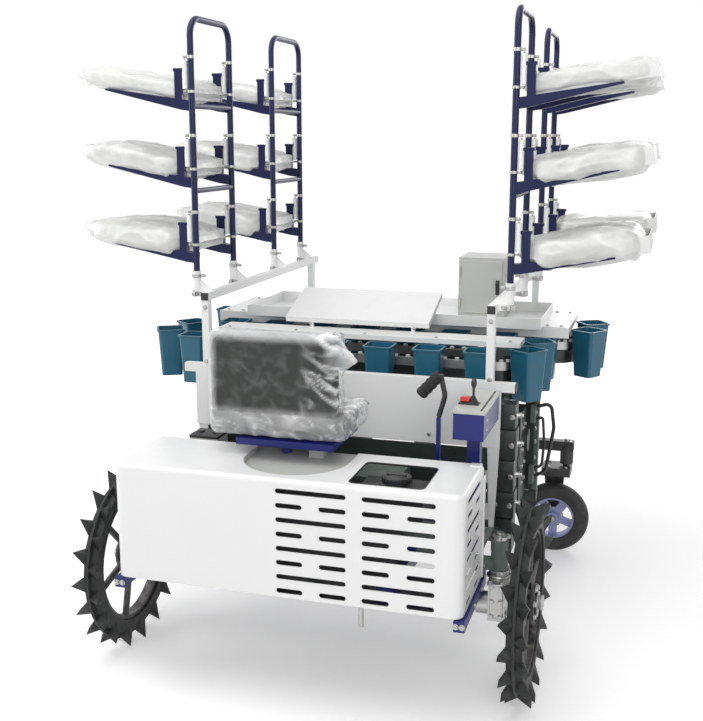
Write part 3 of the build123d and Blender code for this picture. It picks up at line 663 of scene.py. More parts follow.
def pad_shape(name, low, high, round_edges, crown):
    """Start shape of a pad: a rounded block whose faces already crown a little."""
    bm = bmesh.new()
    box(bm, low, high, edge=round_edges, segments=4)
    bmesh.ops.subdivide_edges(bm, edges=bm.edges, cuts=2, use_grid_fill=True)
    middle = [(l + h) / 2 for l, h in zip(low, high)]
    half = [(h - l) / 2 for l, h in zip(low, high)]
    for v in bm.verts:
        u = [(v.co[i] - middle[i]) / half[i] for i in range(3)]
        for i in range(3):
            others = [u[j] for j in range(3) if j != i]
            v.co[i] += crown * u[i] * (1 - others[0] ** 2) * (1 - others[1] ** 2)
    return new_object(name, bm)


def apply_modifiers(made):
    depsgraph = bpy.context.evaluated_depsgraph_get()
    mesh = bpy.data.meshes.new_from_object(made.evaluated_get(depsgraph))
    made.modifiers.clear()
    old = made.data
    made.data = mesh
    bpy.data.meshes.remove(old)
    mesh.name = made.name


def voxels(made, size):
    """Adds a voxel remesh, which joins what overlaps."""
    remesh = made.modifiers.new("Remesh", "REMESH")
    remesh.mode = "VOXEL"
    remesh.voxel_size = size


def inflate(made, voxel, pressure, limit):
    """Swells a pad with cloth under pressure, and keeps each point within a limit of its start."""
    voxels(made, voxel)
    apply_modifiers(made)
    start = [v.co.copy() for v in made.data.vertices]
    cloth = made.modifiers.new("Cloth", "CLOTH")
    cloth.settings.quality = 5
    cloth.settings.mass = 0.4
    cloth.settings.tension_stiffness = 25
    cloth.settings.compression_stiffness = 25
    cloth.settings.bending_stiffness = 2
    cloth.settings.use_pressure = True
    cloth.settings.uniform_pressure_force = pressure
    cloth.settings.effector_weights.gravity = 0
    cloth.point_cache.frame_start = 1
    cloth.point_cache.frame_end = PAD_FRAMES
    scene = bpy.context.scene
    for step in range(1, PAD_FRAMES + 1):
        scene.frame_set(step)
    apply_modifiers(made)
    scene.frame_set(1)
    for v, old in zip(made.data.vertices, start):
        move = v.co - old
        if move.length > limit:
            v.co = old + move * (limit / move.length)


def finish_pad(made, slot, body=MACHINE):
    smooth = made.modifiers.new("Smooth", "SMOOTH")
    smooth.factor = 0.5
    smooth.iterations = 4
    finer = made.modifiers.new("Finer", "SUBSURF")
    finer.levels = finer.render_levels = 1
    apply_modifiers(made)
    made.data.shade_smooth()
    made.data.materials.clear()
    made.data.materials.append(material(slot))
    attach(made, body)


class TRANSPLANTER_OT_seat(bpy.types.Operator):
    """Cushion and backrest of the seat, each a vinyl pad with a moulded shell behind the back"""
    bl_idname = "transplanter.seat"
    bl_label = "Seat"

    def execute(self, context):
        cushion = pad_shape("seat_cushion", at(-0.288, -0.012, 0.799), at(0.112, 0.214, 0.858), 0.026, 0.004)
        back = pad_shape("seat_backrest", at(-0.288, -0.030, 0.828), at(0.096, -0.001, 1.104), 0.013, 0.004)
        for pad in (cushion, back):
            inflate(pad, VOXEL, PAD_PRESSURE, PAD_LIMIT)
            self.sew_channels(pad, pad is back)
            finish_pad(pad, "seat_vinyl")
        shell = self.shell()
        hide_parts("seat")
        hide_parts("seat")
        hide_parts("seat")
        return {"FINISHED"}

    def sew_channels(self, pad, upright):
        """Presses two sewn channels across the face that the operator touches."""
        low = [min(v.co[i] for v in pad.data.vertices) for i in range(3)]
        high = [max(v.co[i] for v in pad.data.vertices) for i in range(3)]
        run, face = (2, 1) if upright else (1, 2)
        for v in pad.data.vertices:
            along = (v.co[run] - low[run]) / (high[run] - low[run])
            near_face = (v.co[face] - low[face]) / (high[face] - low[face])
            if near_face < 0.45:
                continue
            dip = max(0, *(1 - abs(along - place) / 0.045 for place in (0.36, 0.68)))
            v.co[face] -= 0.006 * dip ** 2 * min(1, (near_face - 0.45) / 0.3)

    def shell(self):
        """Moulded shell that wraps the rear of the backrest, with a turned-in lip."""
        bm = bmesh.new()
        low, high = at(-0.298, -0.058, 0.818), at(0.106, -0.024, 1.116)
        box(bm, low, high, edge=0.0)
        upright = [e for e in bm.edges if abs((e.verts[0].co - e.verts[1].co).y) > 0.01]
        bmesh.ops.bevel(bm, geom=upright, offset=0.055, segments=7, profile=0.5, affect="EDGES", material=-1)
        rear = [e for e in bm.edges
                if all(v.co.y < low.y + 1e-4 for v in e.verts) and len(e.link_faces) == 2]
        bmesh.ops.bevel(bm, geom=rear, offset=0.016, segments=4, profile=0.5, affect="EDGES", material=-1)
        back_face = [f for f in bm.faces if f.normal.y < -0.99]
        inner = bmesh.ops.inset_region(bm, faces=back_face, thickness=0.012, depth=-0.003,
                                       use_even_offset=True)
        edges = [e for f in inner["faces"] for e in f.edges]
        bmesh.ops.bevel(bm, geom=list(set(edges)), offset=0.0015, segments=1, profile=0.5, affect="EDGES",
                        material=-1)
        return piece("seat_shell", bm, "seat_vinyl", finish="seat_shell")


class TRANSPLANTER_OT_seat_film(bpy.types.Operator):
    """Clear film drawn over the seat and tied under it"""
    bl_idname = "transplanter.seat_film"
    bl_label = "Seat film"

    def execute(self, context):
        bm = bmesh.new()
        box(bm, at(-0.302, -0.064, 0.822), at(0.112, 0.010, 1.122), edge=0.02, segments=3)
        box(bm, at(-0.304, -0.050, 0.797), at(0.124, 0.232, 0.868), edge=0.02, segments=3)
        film = new_object("seat_film", bm)
        voxels(film, VOXEL)
        smooth = film.modifiers.new("Smooth", "SMOOTH")
        smooth.factor, smooth.iterations = 0.5, 8
        apply_modifiers(film)
        bm = bmesh.new()
        bm.from_mesh(film.data)
        under = [f for f in bm.faces if f.calc_center_median().z < 0.802 and f.normal.z < -0.5]
        bmesh.ops.delete(bm, geom=under, context="FACES")
        bm.to_mesh(film.data)
        bm.free()
        self.crumple(film)
        film.data.shade_smooth()
        film.data.materials.clear()
        film.data.materials.append(material("seat_film"))
        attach(film, MACHINE)
        return {"FINISHED"}

    def crumple(self, film):
        """Draws the film into folds, slack at the seat's right edge, a torn corner standing out."""
        corner = at(0.112, -0.045, 1.050)
        left, top, ahead = at(-0.302, 0, 0).x, 1.122, at(0, 0.015, 0).y
        pulled = Vector((0.060, -0.004, -0.002))
        rim_width, corner_reach, stand_off = 0.034, 0.055, 0.0032
        folds, wrinkles, creases = 14, 33, 70
        milky = film.data.attributes.new("milky", "FLOAT", "POINT")
        for v in film.data.vertices:
            p, out = v.co.copy(), v.normal.copy()
            on_back = p.y < ahead and p.z > 0.875
            slack = min(1, max(0, (p.x + 0.02) / 0.10))
            low_band = min(1, max(0, (0.898 - p.z) / 0.02))
            rim = max(0, 1 - (p.x - left) / rim_width, 1 - (top - p.z) / 0.030) if on_back else 0.0
            rim = min(1, 1.6 * rim)
            drawn = Vector((p.x * 0.9 + p.z * 0.9, p.y, p.z * 0.25 - p.x * 0.25))
            broad = ridges(drawn, folds, 4)
            medium = ridges(Vector((p.x * 0.4 + p.z, p.y * 2, p.z * 0.3 + p.x * 0.5)), wrinkles, 9)
            fine = ridges(p, creases, 2)
            free = max(slack, 0.16 * low_band, 0.12 * rim, 0.05 if on_back else 0.45)
            lift = stand_off + free * (0.008 * broad ** 1.5 + 0.0035 * medium ** 2 + 0.0008 * fine)
            tip = max(0, 1 - (p - corner).length / corner_reach)
            v.co = p + out * lift + pulled * tip ** 1.5
            # Crests of the folds where the film hangs free turn milky white: painted highlights, for the
            # light that these folds reflect. The rim, the low band and the torn corner are whiter film.
            painted_highlight_streaks = 0.75 * broad ** 5 + 0.6 * medium ** 6
            cover = 0.46 * rim + 0.26 * low_band + painted_highlight_streaks * free + 0.6 * tip
            milky.data[v.index].value = min(1, cover + (0.0 if on_back else 0.12))


def on_side(bm, side):
    """Leaves right-hand geometry as it is, or mirrors it to the left."""
    if side < 0:
        bmesh.ops.transform(bm, matrix=Matrix.Diagonal((-1, 1, 1, 1)), verts=bm.verts)
    return bm


# ---------------------------------------------------------------- ladders
class TRANSPLANTER_OT_ladder_fittings(bpy.types.Operator):
    """Pivot sleeves of the trays, and the clamps on the ladders and their sockets"""
    bl_idname = "transplanter.ladder_fittings"
    bl_label = "Ladder fittings"

    def execute(self, context):
        upright_x, pivot_x, radius = 0.545, 0.5672, 0.0112
        for side_name, side in SIDES:
            sleeves, clamps, collars = bmesh.new(), bmesh.new(), bmesh.new()
            for _, uprights in LADDERS:
                for y in uprights:
                    for height, _ in TIERS:
                        sleeve(sleeves, at(pivot_x, y, height + 0.034), at(pivot_x, y, height + 0.126),
                               0.0098, 0.0045)
                        lathe(clamps, ((0, 0.006), (0.0035, 0.006), (0.0035, 0), (0, 0)),
                              facing((0, 0, 1), at(pivot_x, y, height + 0.125)), 10)
                        ring_clamp(clamps, at(upright_x, y, height + 0.138), 0.0136, radius, 0.011,
                                   (1, 0, 0), 0.013)
                        ring_clamp(clamps, at(upright_x, y, height + 0.026), 0.0134, radius, 0.009,
                                   (1, 0, 0), 0.012)
                    ring_clamp(clamps, at(upright_x, y, 1.160), 0.0172, 0.0147, 0.018, (0, -1, 0), 0.015)
                    ring_clamp(clamps, at(upright_x, y, 1.222), 0.0175, 0.0147, 0.012, (-1, 0, 0), 0.014)
                    lathe(collars, ((radius, 0), (0.0152, 0), (0.0152, -0.004), (0.0146, -0.006)),
                          facing((0, 0, 1), at(upright_x, y, 1.2385)), 20)
            piece(f"tray_pivot_sleeves_{side_name}", on_side(sleeves, side), "white_frame")
            piece(f"ladder_clamps_{side_name}", on_side(clamps, side), "bare_steel")
            piece(f"socket_collars_{side_name}", on_side(collars, side), "white_frame")
        return {"FINISHED"}


class TRANSPLANTER_OT_rack_fittings(bpy.types.Operator):
    """End caps and bolts of the rack's beams, the cross tube and the panels"""
    bl_idname = "transplanter.rack_fittings"
    bl_label = "Rack fittings"

    def execute(self, context):
        caps, bolts = bmesh.new(), bmesh.new()
        for side in (1, -1):
            for y, turn in ((0.351, -1), (1.530, 1)):
                self.cap(caps, at(side * 0.495, y, 1.157), (0, turn, 0), 0.026)
            self.cap(caps, at(side * 0.578, 0.364, 0.906), (side, 0, 0), 0.030)
            self.cap(caps, at(side * 0.692, 1.300, 0.455), (side, 0, 0), 0.040)
            for y in (0.402, 0.724, 1.150, 1.476):
                bolt(bolts, at(side * 0.509, y - 0.0065, 1.160), (0, -1, 0), 0.006)
                bolt(bolts, at(side * 0.527, y - 0.0135, 1.160), (0, -1, 0), 0.006)
            for z in (0.93, 1.12):
                bolt(bolts, at(side * 0.495, 0.3505, z), (0, -1, 0), 0.007)
            for x in (0.30, 0.46):
                bolt(bolts, at(side * x, 0.3455, 0.885), (0, -1, 0), 0.006)
                bolt(bolts, at(side * x, 0.3455, 0.735), (0, -1, 0), 0.006)
        piece("tube_end_caps", caps, "black_plastic")
        piece("rack_bolts", bolts, "bare_steel")
        return {"FINISHED"}

    def cap(self, bm, place, direction, size):
        """Domed square plug in the end of a tube."""
        half = size / 2
        made = box(bm, (-half, -half, 0.0), (half, half, 0.003), facing(direction, place), edge=0.0)
        top = max((f for f in {f for v in made for f in v.link_faces}),
                  key=lambda f: f.calc_center_median().dot(Vector(direction)))
        bmesh.ops.inset_region(bm, faces=[top], thickness=size * 0.12, depth=0.0012, use_even_offset=True)


# ---------------------------------------------------------------- wheels
class TRANSPLANTER_OT_drive_units(bpy.types.Operator):
    """Covers, plates and bolts of the steered drive units and their wheels"""
    bl_idname = "transplanter.drive_units"
    bl_label = "Drive units"

    def execute(self, context):
        hub_y, hub_z, king_x, motor_x, motor_z = 0.08, 0.31, 0.585, 0.520, 0.29
        for side_name, side in SIDES:
            wheel = bmesh.new()
            for k in range(6):
                a = 2 * pi * k / 6 + radians(45)
                bolt(wheel, at(0.6992, hub_y + 0.047 * cos(a), hub_z + 0.047 * sin(a)), (1, 0, 0), 0.009)
            sleeve(wheel, at(0.7038, hub_y, hub_z), at(0.7085, hub_y, hub_z), 0.034, 0.0178, 28)
            piece(f"drive_wheel_bolts_{side_name}", on_side(wheel, side), "bare_steel",
                  f"drive_wheel_{side_name}")
            nut = bmesh.new()
            place = facing((1, 0, 0), at(0.7105, hub_y, hub_z))
            head = bmesh.ops.create_cone(nut, cap_ends=True, segments=6, radius1=0.026, radius2=0.026,
                                         depth=0.012,
                                         matrix=place @ Matrix.Translation((0, 0, 0.006)))
            edges = list({e for v in head["verts"] for e in v.link_edges})
            bmesh.ops.bevel(nut, geom=edges, offset=0.002, segments=2, profile=0.5, affect="EDGES",
                            material=-1)
            lathe(nut, ((0, 0.0135), (0.012, 0.0135), (0.0145, 0.0115), (0.0145, 0.0)), place, 20)
            box(nut, at(0.566, 0.0285, 0.262), at(0.606, 0.034, 0.374), edge=0.002)
            for x in (0.5725, 0.5995):
                for z in (0.270, 0.318, 0.366):
                    bolt(nut, at(x, 0.0285, z), (0, -1, 0), 0.007)
            box(nut, at(0.560, 0.006, 0.376), at(0.613, 0.154, 0.3835), edge=0.003, segments=2)
            for dx, dy in ((-0.017, -0.062), (0.017, -0.062), (-0.017, 0.062), (0.017, 0.062)):
                bolt(nut, at(king_x + dx, hub_y + dy, 0.3835), (0, 0, 1), 0.008)
            lathe(nut, ((0.030, 0.0), (0.0375, 0.0), (0.0375, 0.004), (0.034, 0.0065), (0.0305, 0.0065)),
                  facing((0, 0, 1), at(king_x, hub_y, 0.3835)), 28)
            for k in range(4):
                a = 2 * pi * k / 4 + pi / 4
                bolt(nut, at(motor_x, hub_y + 0.024 * cos(a), motor_z + 0.024 * sin(a)), (-1, 0, 0), 0.006)
            bolt(nut, at(king_x, hub_y, 0.512), (0, 0, 1), 0.014)
            for k in range(5):
                a = 2 * pi * k / 5
                bolt(nut, at(0.632, hub_y + 0.039 * cos(a), hub_z + 0.039 * sin(a)), (1, 0, 0), 0.006,
                     washer=False)
            piece(f"drive_unit_plates_{side_name}", on_side(nut, side), "bare_steel",
                  f"drive_unit_{side_name}")
        return {"FINISHED"}


class TRANSPLANTER_OT_castors(bpy.types.Operator):
    """Nuts, washers, hub caps and valves of the castors"""
    bl_idname = "transplanter.castors"
    bl_label = "Castors"

    def execute(self, context):
        axle_x, axle_z, stem_x, fork_y = 0.623, 0.145, 0.668, 1.300
        tread = [(31, 118), (30.6, 123), (29, 128), (26, 133.5), (19, 140), (13, 143.4), (7, 144.9), (0, 145)]
        ring = tread + [(-x, r) for x, r in reversed(tread[:-1])]
        ring += [(-31, 110), (-26, 87), (26, 87), (31, 110)]
        for side_name, side in SIDES:
            tyre = bmesh.new()
            place = facing((0, 1, 0), at(axle_x, fork_y, axle_z))
            lathe(tyre, [(r / 1000, x / 1000) for x, r in ring + ring[:1]], place, 64)
            made = piece(f"castor_tread_{side_name}", on_side(tyre, side), "castor_rubber",
                         f"castor_wheel_{side_name}", angle=40)
            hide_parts(f"castor_tyre_{side_name}")
            fork = bmesh.new()
            bolt(fork, at(stem_x, fork_y, 0.474), (0, 0, 1), 0.016)
            for dx, dy in ((-0.07, -0.036), (-0.07, 0.036), (0.0, -0.036), (0.0, 0.036)):
                bolt(fork, at(stem_x + dx, fork_y + dy, 0.369), (0, 0, 1), 0.008)
            bolt(fork, at(axle_x, fork_y + 0.054, axle_z), (0, 1, 0), 0.014)
            bolt(fork, at(axle_x, fork_y - 0.0382, axle_z), (0, -1, 0), 0.010)
            for z in (0.30, 0.325):
                bolt(fork, at(axle_x, fork_y + 0.054, z), (0, 1, 0), 0.008)
            piece(f"castor_bolts_{side_name}", on_side(fork, side), "bare_steel",
                  f"castor_swivel_{side_name}")
            rim = bmesh.new()
            for face in (-1, 1):
                for k in range(5):
                    a = radians(72 * k + 18)
                    place = at(axle_x + 0.036 * cos(a), fork_y + face * 0.0042, axle_z + 0.036 * sin(a))
                    bolt(rim, place, (0, face, 0), 0.006)
            sleeve(rim, at(axle_x + 0.072, 1.279, axle_z), at(axle_x + 0.072, 1.262, axle_z), 0.0035,
                   0.0015, 8)
            piece(f"castor_rim_bolts_{side_name}", on_side(rim, side), "bare_steel",
                  f"castor_wheel_{side_name}")
        return {"FINISHED"}


# ---------------------------------------------------------------- hood
class TRANSPLANTER_OT_hood_trim(bpy.types.Operator):
    """Folded flanges, bolts, the window's edging, the fuel cap's grip and the bars' end bolts"""
    bl_idname = "transplanter.hood_trim"
    bl_label = "Hood trim"

    def execute(self, context):
        flanges, bolts = bmesh.new(), bmesh.new()
        for side in (1, -1):
            half = bmesh.new()
            box(half, at(0.5345, 0.046, 0.384), at(0.5405, 0.058, 0.706), edge=0.0012)
            on_side(half, side)
            self.join(flanges, half)
            for z in (0.42, 0.66):
                bolt(bolts, at(side * 0.5405, 0.052, z), (side, 0, 0), 0.005, washer=False)
            for dx in (-0.009, 0.009):
                bolt(bolts, at(side * (0.527 + dx), -0.255, 0.359), (0, -1, 0), 0.008)
            for y in (-0.10, 0.02):
                bolt(bolts, at(side * 0.543, y, 0.359), (side, 0, 0), 0.007)
        box(flanges, at(0.497, 0.020, 0.7365), at(0.531, 0.0525, 0.7435), edge=0.0025, segments=3)
        piece("hood_flanges", flanges, "white_sheet")
        piece("hood_bolts", bolts, "bare_steel")
        self.window_edging()
        self.fuel_cap()
        return {"FINISHED"}

    def join(self, bm, part):
        mesh = bpy.data.meshes.new("part")
        part.to_mesh(mesh)
        part.free()
        bm.from_mesh(mesh)
        bpy.data.meshes.remove(mesh)

    def window_edging(self):
        """Rubber strip on the edge of the hood's window."""
        half_x, half_y, corner, thick = 0.1105, 0.102, 0.0175, 0.0022
        path = []
        for cx, cy, start in ((1, 1, 0), (-1, 1, 90), (-1, -1, 180), (1, -1, 270)):
            for step in range(6):
                a = radians(start + 18 * step)
                path.append((cx * (half_x - corner) + corner * cos(a),
                             cy * (half_y - corner) + corner * sin(a)))
        bm = bmesh.new()
        rings = []
        for x, y in path:
            middle = at(0.305 + x, -0.124 + y, 0.7385)
            out = Vector((x, y, 0)).normalized()
            rings.append([bm.verts.new(middle + out * thick * cos(b) + Vector((0, 0, 1.5 * thick * sin(b))))
                          for b in [pi / 4 + k * pi / 4 for k in range(8)]])
        for a, b in zip(rings, rings[1:] + rings[:1]):
            for k in range(8):
                bm.faces.new((a[k], a[(k + 1) % 8], b[(k + 1) % 8], b[k]))
        piece("window_edging", bm, "black_plastic", angle=60)

    def fuel_cap(self):
        bm = bmesh.new()
        top = facing((0, 0, 1), at(0.305, -0.095, 0.729))
        lathe(bm, ((0, 0.0035), (0.020, 0.0035), (0.030, 0.002), (0.036, 0.0022), (0.040, 0.0),
                   (0.042, -0.003)),
              top, 48)
        box(bm, (-0.030, -0.0065, 0.001), (0.030, 0.0065, 0.0085), top, edge=0.003, segments=3)
        for k in range(24):
            turn = Matrix.Rotation(2 * pi * k / 24, 4, "Z")
            box(bm, (0.0415, -0.0022, -0.017), (0.0445, 0.0022, -0.002), top @ turn, edge=0.0008)
        piece("fuel_cap_grip", bm, "black_plastic")


# ---------------------------------------------------------------- controls
class TRANSPLANTER_OT_controls(bpy.types.Operator):
    """Joystick, rocker switch and screws on the control box, and the lever's foam grip"""
    bl_idname = "transplanter.controls"
    bl_label = "Controls"

    def execute(self, context):
        self.joystick()
        self.switch()
        screws = bmesh.new()
        for x in (0.450, 0.532):
            for y in (0.024, 0.288):
                bolt(screws, at(x, y, 0.909), (0, 0, 1), 0.004)
        for z in (0.845, 0.875):
            bolt(screws, at(0.537, 0.06, z), (1, 0, 0), 0.004)
        piece("control_box_screws", screws, "bare_steel")
        seal = bmesh.new()
        box(seal, at(0.5225, 0.030, 0.9085), at(0.5285, 0.282, 0.9105), edge=0.0008)
        piece("control_lid_seal", seal, "black_plastic")
        self.grip()
        return {"FINISHED"}

    def joystick(self):
        bm = bmesh.new()
        base = facing((0, 0, 1), at(0.488, 0.108, 0.909)) @ Matrix.Scale(0.8, 4)
        box(bm, (-0.024, -0.024, 0), (0.024, 0.024, 0.003), base, edge=0.0014, segments=2)
        folds = ((0.021, 0.003), (0.0205, 0.008), (0.016, 0.010), (0.0165, 0.015), (0.012, 0.017),
                 (0.0125, 0.022),
                 (0.0085, 0.024), (0.009, 0.028), (0.006, 0.031))
        lathe(bm, folds, base, 24)
        lean = base @ Matrix.Translation((0, 0, 0.028)) @ Matrix.Rotation(radians(5), 4, "X")
        lathe(bm, ((0.0048, 0), (0.0045, 0.030), (0.007, 0.036), (0.0105, 0.044), (0.011, 0.056),
                   (0.0085, 0.066),
                   (0.004, 0.070), (0, 0.0705)), lean, 20)
        piece("joystick", bm, "black_plastic", angle=50)

    def switch(self):
        bezel, rocker = bmesh.new(), bmesh.new()
        place = facing((0, 0, 1), at(0.4635, 0.118, 0.909)) @ Matrix.Scale(1.25, 4)
        box(bezel, (-0.015, -0.021, 0), (0.015, 0.021, 0.004), place, edge=0.0015, segments=2)
        piece("switch_bezel", bezel, "black_plastic")
        tilted = place @ Matrix.Translation((0, 0, 0.006)) @ Matrix.Rotation(radians(9), 4, "X")
        made = box(rocker, (-0.0115, -0.017, -0.004), (0.0115, 0.017, 0.008), tilted, edge=0.002, segments=3)
        for v in made:
            local = tilted.inverted() @ v.co
            v.co = tilted @ Vector((local.x, local.y, local.z + 60 * local.y ** 2 * 0.12))
        piece("switch_rocker", rocker, "label_blue", finish="red_switch")

    def grip(self):
        """Foam sleeve with finger hollows over the lever's slanting end."""
        bm = bmesh.new()
        low, high = at(0.322, 0.122, 0.9238), at(0.381, 0.122, 0.9891)
        long = (high - low).length
        profile = [(0.010, -0.001), (0.0165, 0.0), (0.0188, 0.004)]
        steps = 26
        for i in range(1, steps):
            h = 0.004 + (long - 0.008) * i / steps
            profile.append((0.0186 + 0.0012 * sin(2 * pi * 4 * i / steps), h))
        profile += [(0.0188, long - 0.004), (0.0165, long), (0.010, long + 0.001)]
        lathe(bm, profile, facing(high - low, low), 28)
        piece("lever_foam", bm, "black_plastic", angle=50, finish="foam")


# ---------------------------------------------------------------- carousels
CUP_LOOPS = (("front", -0.085, 0.700, 0.545, 0.860, 18, 0.01), ("rear", 0.020, 0.757, 0.975, 1.290, 19, 0.6))
"""Name, middle, half length, front run, rear run, number of cups and offset of the first."""


def track_point(loop, distance, inside=0.0):
    """Point and heading at a distance from the start of a loop's front run, set in by a margin."""
    _, centre, half, front, rear, _, _ = loop
    radius, middle = (rear - front) / 2, (front + rear) / 2
    straight, bend = half - radius, pi * radius
    distance %= 4 * straight + 2 * bend
    if distance < 2 * straight:
        return (centre + distance - straight, front + inside), 0.0
    if distance < 2 * straight + bend:
        a = (distance - 2 * straight) / radius - pi / 2
        return (centre + straight + (radius - inside) * cos(a),
                middle + (radius - inside) * sin(a)), a + pi / 2
    if distance < 4 * straight + bend:
        return (centre + 3 * straight + bend - distance, rear - inside), pi
    a = (distance - 4 * straight - bend) / radius + pi / 2
    return (centre - straight + (radius - inside) * cos(a), middle + (radius - inside) * sin(a)), a + pi / 2


class TRANSPLANTER_OT_carousels(bpy.types.Operator):
    """Rollers, side plates and cup clips of the carousels' chains"""
    bl_idname = "transplanter.carousels"
    bl_label = "Carousels"

    def execute(self, context):
        for loop in CUP_LOOPS:
            name, _, half, front, rear, count, phase = loop
            radius = (rear - front) / 2
            lap = 4 * (half - radius) + 2 * pi * radius
            rollers, clips = bmesh.new(), bmesh.new()
            total = round(lap / 0.044)
            for k in range(total):
                (x, y), _ = track_point(loop, lap * k / total, 0.063)
                lathe(rollers, ((0, 0.008), (0.007, 0.008), (0.0085, 0.0065), (0.0085, 0.0)),
                      facing((0, 0, 1), at(x, y, 0.935)), 8)
            for cup in range(count):
                (x, y), heading = track_point(loop, (cup + phase) * lap / count, 0.0)
                place = Matrix.Translation(at(x, y, 0)) @ Matrix.Rotation(heading, 4, "Z")
                box(clips, (-0.024, 0.0385, 0.894), (0.024, 0.0455, 0.943), place, edge=0.0012)
                for dx in (-0.0165, 0.0165):
                    bolt(clips, place @ Vector((dx, 0.0385, 0.931)), place.to_3x3() @ Vector((0, -1, 0)),
                         0.005,
                         washer=False)
                box(clips, (-0.012, 0.0535, 0.892), (0.012, 0.0565, 0.900), place, edge=0.0008)
            piece(f"chain_rollers_{name}", rollers, "tray_plastic", finish="white_nylon")
            piece(f"cup_clips_{name}", clips, "black_paint")
        return {"FINISHED"}


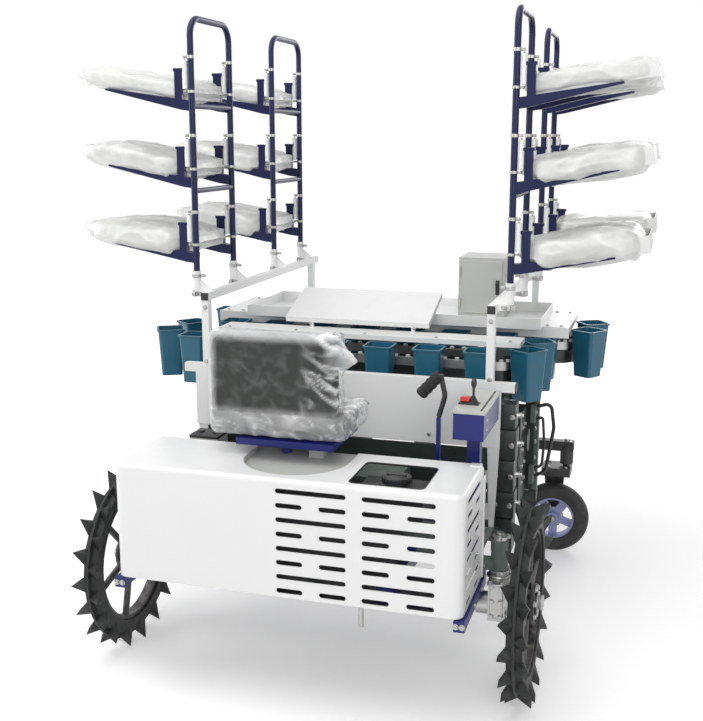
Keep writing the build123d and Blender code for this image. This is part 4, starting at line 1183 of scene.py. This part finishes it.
class TRANSPLANTER_OT_deck_fittings(bpy.types.Operator):
    """Cabinet door, cover bolts, battery lid, tread on the footplate and bolts of the drives"""
    bl_idname = "transplanter.deck_fittings"
    bl_label = "Deck fittings"

    def execute(self, context):
        bolts, plates = bmesh.new(), bmesh.new()
        box(plates, at(0.264, 1.0325, 1.030), at(0.422, 1.036, 1.232), edge=0.0015)
        for z in (1.07, 1.19):
            sleeve(plates, at(0.259, 1.0315, z - 0.018), at(0.259, 1.0315, z + 0.018), 0.0045, 0.002, 12)
        piece("cabinet_door", plates, "grey_paint")
        handle = bmesh.new()
        box(handle, at(0.398, 1.0265, 1.105), at(0.412, 1.0325, 1.160), edge=0.002, segments=2)
        lathe(handle, ((0, 0.010), (0.006, 0.010), (0.007, 0.009), (0.007, 0)),
              facing((0, -1, 0), at(0.405, 1.0265, 1.146)), 16)
        piece("cabinet_latch", handle, "black_plastic")
        for x in (-0.52, -0.26, 0.0, 0.26, 0.52):
            bolt(bolts, at(x, 0.616, 1.006), (0, 0, 1), 0.006)
        for x in (-0.66, -0.60, 0.61, 0.66):
            for y in (0.94, 1.26):
                bolt(bolts, at(x, y, 1.012), (0, 0, 1), 0.006)
        for x in (-0.24, 0.155):
            bolt(bolts, at(x + 0.006, 0.703, 1.018), (0, -1, 0), 0.005)
        for y in (0.640, 0.700):
            for z in (0.50, 0.56, 0.62, 0.70):
                bolt(bolts, at(0.568, y, z), (1, 0, 0), 0.008)
        for x in (0.497, 0.553):
            for z in (0.47, 0.55, 0.63, 0.71):
                bolt(bolts, at(x, 0.590, z), (0, -1, 0), 0.008)
        for z in (0.49, 0.55, 0.61, 0.66, 0.72):
            bolt(bolts, at(0.594, 0.786, z), (0, -1, 0), 0.008)
        piece("deck_bolts", bolts, "bare_steel")
        self.cylinder()
        self.valve_block()
        self.tread()
        self.battery_lid()
        return {"FINISHED"}

    def cylinder(self):
        """Short hydraulic cylinder with its rod, between the drive case and the corner post."""
        bm = bmesh.new()
        foot, head = at(0.560, 0.572, 0.560), at(0.532, 0.572, 0.745)
        run = (head - foot).normalized()
        lathe(bm, ((0, -0.002), (0.015, -0.002), (0.017, 0), (0.017, 0.012), (0.0145, 0.013), (0.0145, 0.118),
                   (0.017, 0.119), (0.017, 0.132), (0.015, 0.134), (0.0055, 0.134), (0.0055, 0.186),
                   (0, 0.186)),
              facing(run, foot), 20)
        for end in (foot - run * 0.008, head + run * 0.004):
            sleeve(bm, end - Vector((0, 0.011, 0)), end + Vector((0, 0.018, 0)), 0.011, 0.005, 16)
        piece("lift_cylinder", bm, "black_paint", angle=50)

    def valve_block(self):
        """Stack of hydraulic valves with its fittings, and the guard behind it, beside the white leg."""
        bm, steel = bmesh.new(), bmesh.new()
        for k, (z, high) in enumerate(((0.318, 0.118), (0.440, 0.089), (0.531, 0.109), (0.642, 0.104),
                                       (0.748, 0.085))):
            grow = 0.004 * (k % 2)
            box(bm, at(0.503 - grow, 0.425, z), at(0.572 + grow, 0.500, z + high - 0.001), edge=0.003,
                segments=2)
            for x in (0.513, 0.562):
                bolt(steel, at(x, 0.425, z + high / 2), (0, -1, 0), 0.008)
            lathe(steel, ((0, 0.022), (0.007, 0.022), (0.0075, 0.016), (0.0105, 0.015), (0.0105, 0.004),
                          (0.013, 0.0),
                          (0, 0)), facing((1, 0, 0), at(0.572 + grow, 0.462, z + high / 2)), 14)
        box(bm, at(0.560, 0.770, 0.430), at(0.596, 0.7825, 0.790), edge=0.003)
        box(bm, at(0.324, 0.446, 0.390), at(0.506, 0.480, 0.408), edge=0.002)
        for z, back in ((0.468, 0.366), (0.785, 0.374)):
            box(bm, at(0.506, back, z), at(0.518, 0.428, z + 0.022), edge=0.001)
        # The valve block takes the darker green, a painted shade for the shadow under the deck.
        piece("valve_block", bm, "black_paint", finish="shaded_green")
        piece("valve_fittings", steel, "bare_steel")

    def tread(self):
        """Raised lozenges on the footplate."""
        bm = bmesh.new()
        columns, rows = 34, 7
        for i in range(columns):
            for j in range(rows):
                x, y = -0.505 + 0.0305 * i, 0.128 + 0.0305 * j
                by_post, by_lever = 0.015 < x < 0.255 and y > 0.118, x < -0.40 and y > 0.215
                if by_post or by_lever or (0.462 < x and y < 0.165):
                    continue
                turn = Matrix.Rotation(radians(45 if (i + j) % 2 else -45), 4, "Z")
                bmesh.ops.create_cone(bm, cap_ends=True, segments=4, radius1=0.5, radius2=0.32, depth=1,
                                      matrix=Matrix.Translation(at(x, y, 0.4397)) @ turn
                                      @ Matrix.Diagonal((0.021, 0.008, 0.0014, 1)))
        piece("footplate_tread", bm, "grey_green_paint")

    def battery_lid(self):
        bm = bmesh.new()
        box(bm, at(-0.512, 0.228, 0.688), at(-0.406, 0.320, 0.698), edge=0.003, segments=2)
        for x in (-0.485, -0.433):
            box(bm, at(x - 0.008, 0.262, 0.697), at(x + 0.008, 0.286, 0.703), edge=0.002, segments=2)
        piece("battery_lid", bm, "black_plastic")


class TRANSPLANTER_PT_sidebar(bpy.types.Panel):
    bl_idname = "TRANSPLANTER_PT_sidebar"
    bl_label = "Transplanter"
    bl_space_type = "VIEW_3D"
    bl_region_type = "UI"
    bl_category = "Transplanter"

    def draw(self, context):
        for operator in OPERATORS:
            self.layout.operator(operator.bl_idname)


OPERATORS = (
    TRANSPLANTER_OT_stage,
    TRANSPLANTER_OT_frame_finishes,
    TRANSPLANTER_OT_tray_film,
    TRANSPLANTER_OT_seat,
    TRANSPLANTER_OT_seat_film,
    TRANSPLANTER_OT_ladder_fittings,
    TRANSPLANTER_OT_rack_fittings,
    TRANSPLANTER_OT_drive_units,
    TRANSPLANTER_OT_castors,
    TRANSPLANTER_OT_hood_trim,
    TRANSPLANTER_OT_controls,
    TRANSPLANTER_OT_carousels,
    TRANSPLANTER_OT_deck_fittings,
)
CLASSES = (StageSettings, PaintSettings, SizeSettings, *OPERATORS, TRANSPLANTER_PT_sidebar)


def register():
    for item in CLASSES:
        bpy.utils.register_class(item)
    bpy.types.Scene.transplanter_stage = PointerProperty(type=StageSettings)
    bpy.types.Scene.transplanter_paint = PointerProperty(type=PaintSettings)
    bpy.types.Scene.transplanter_sizes = PointerProperty(type=SizeSettings)


def unregister():
    del bpy.types.Scene.transplanter_sizes
    del bpy.types.Scene.transplanter_paint
    del bpy.types.Scene.transplanter_stage
    for item in reversed(CLASSES):
        bpy.utils.unregister_class(item)


def main():
    register()
    for operator in OPERATORS:
        family, action = operator.bl_idname.split(".")
        getattr(getattr(bpy.ops, family), action)()


if __name__ == "__main__":
    main()
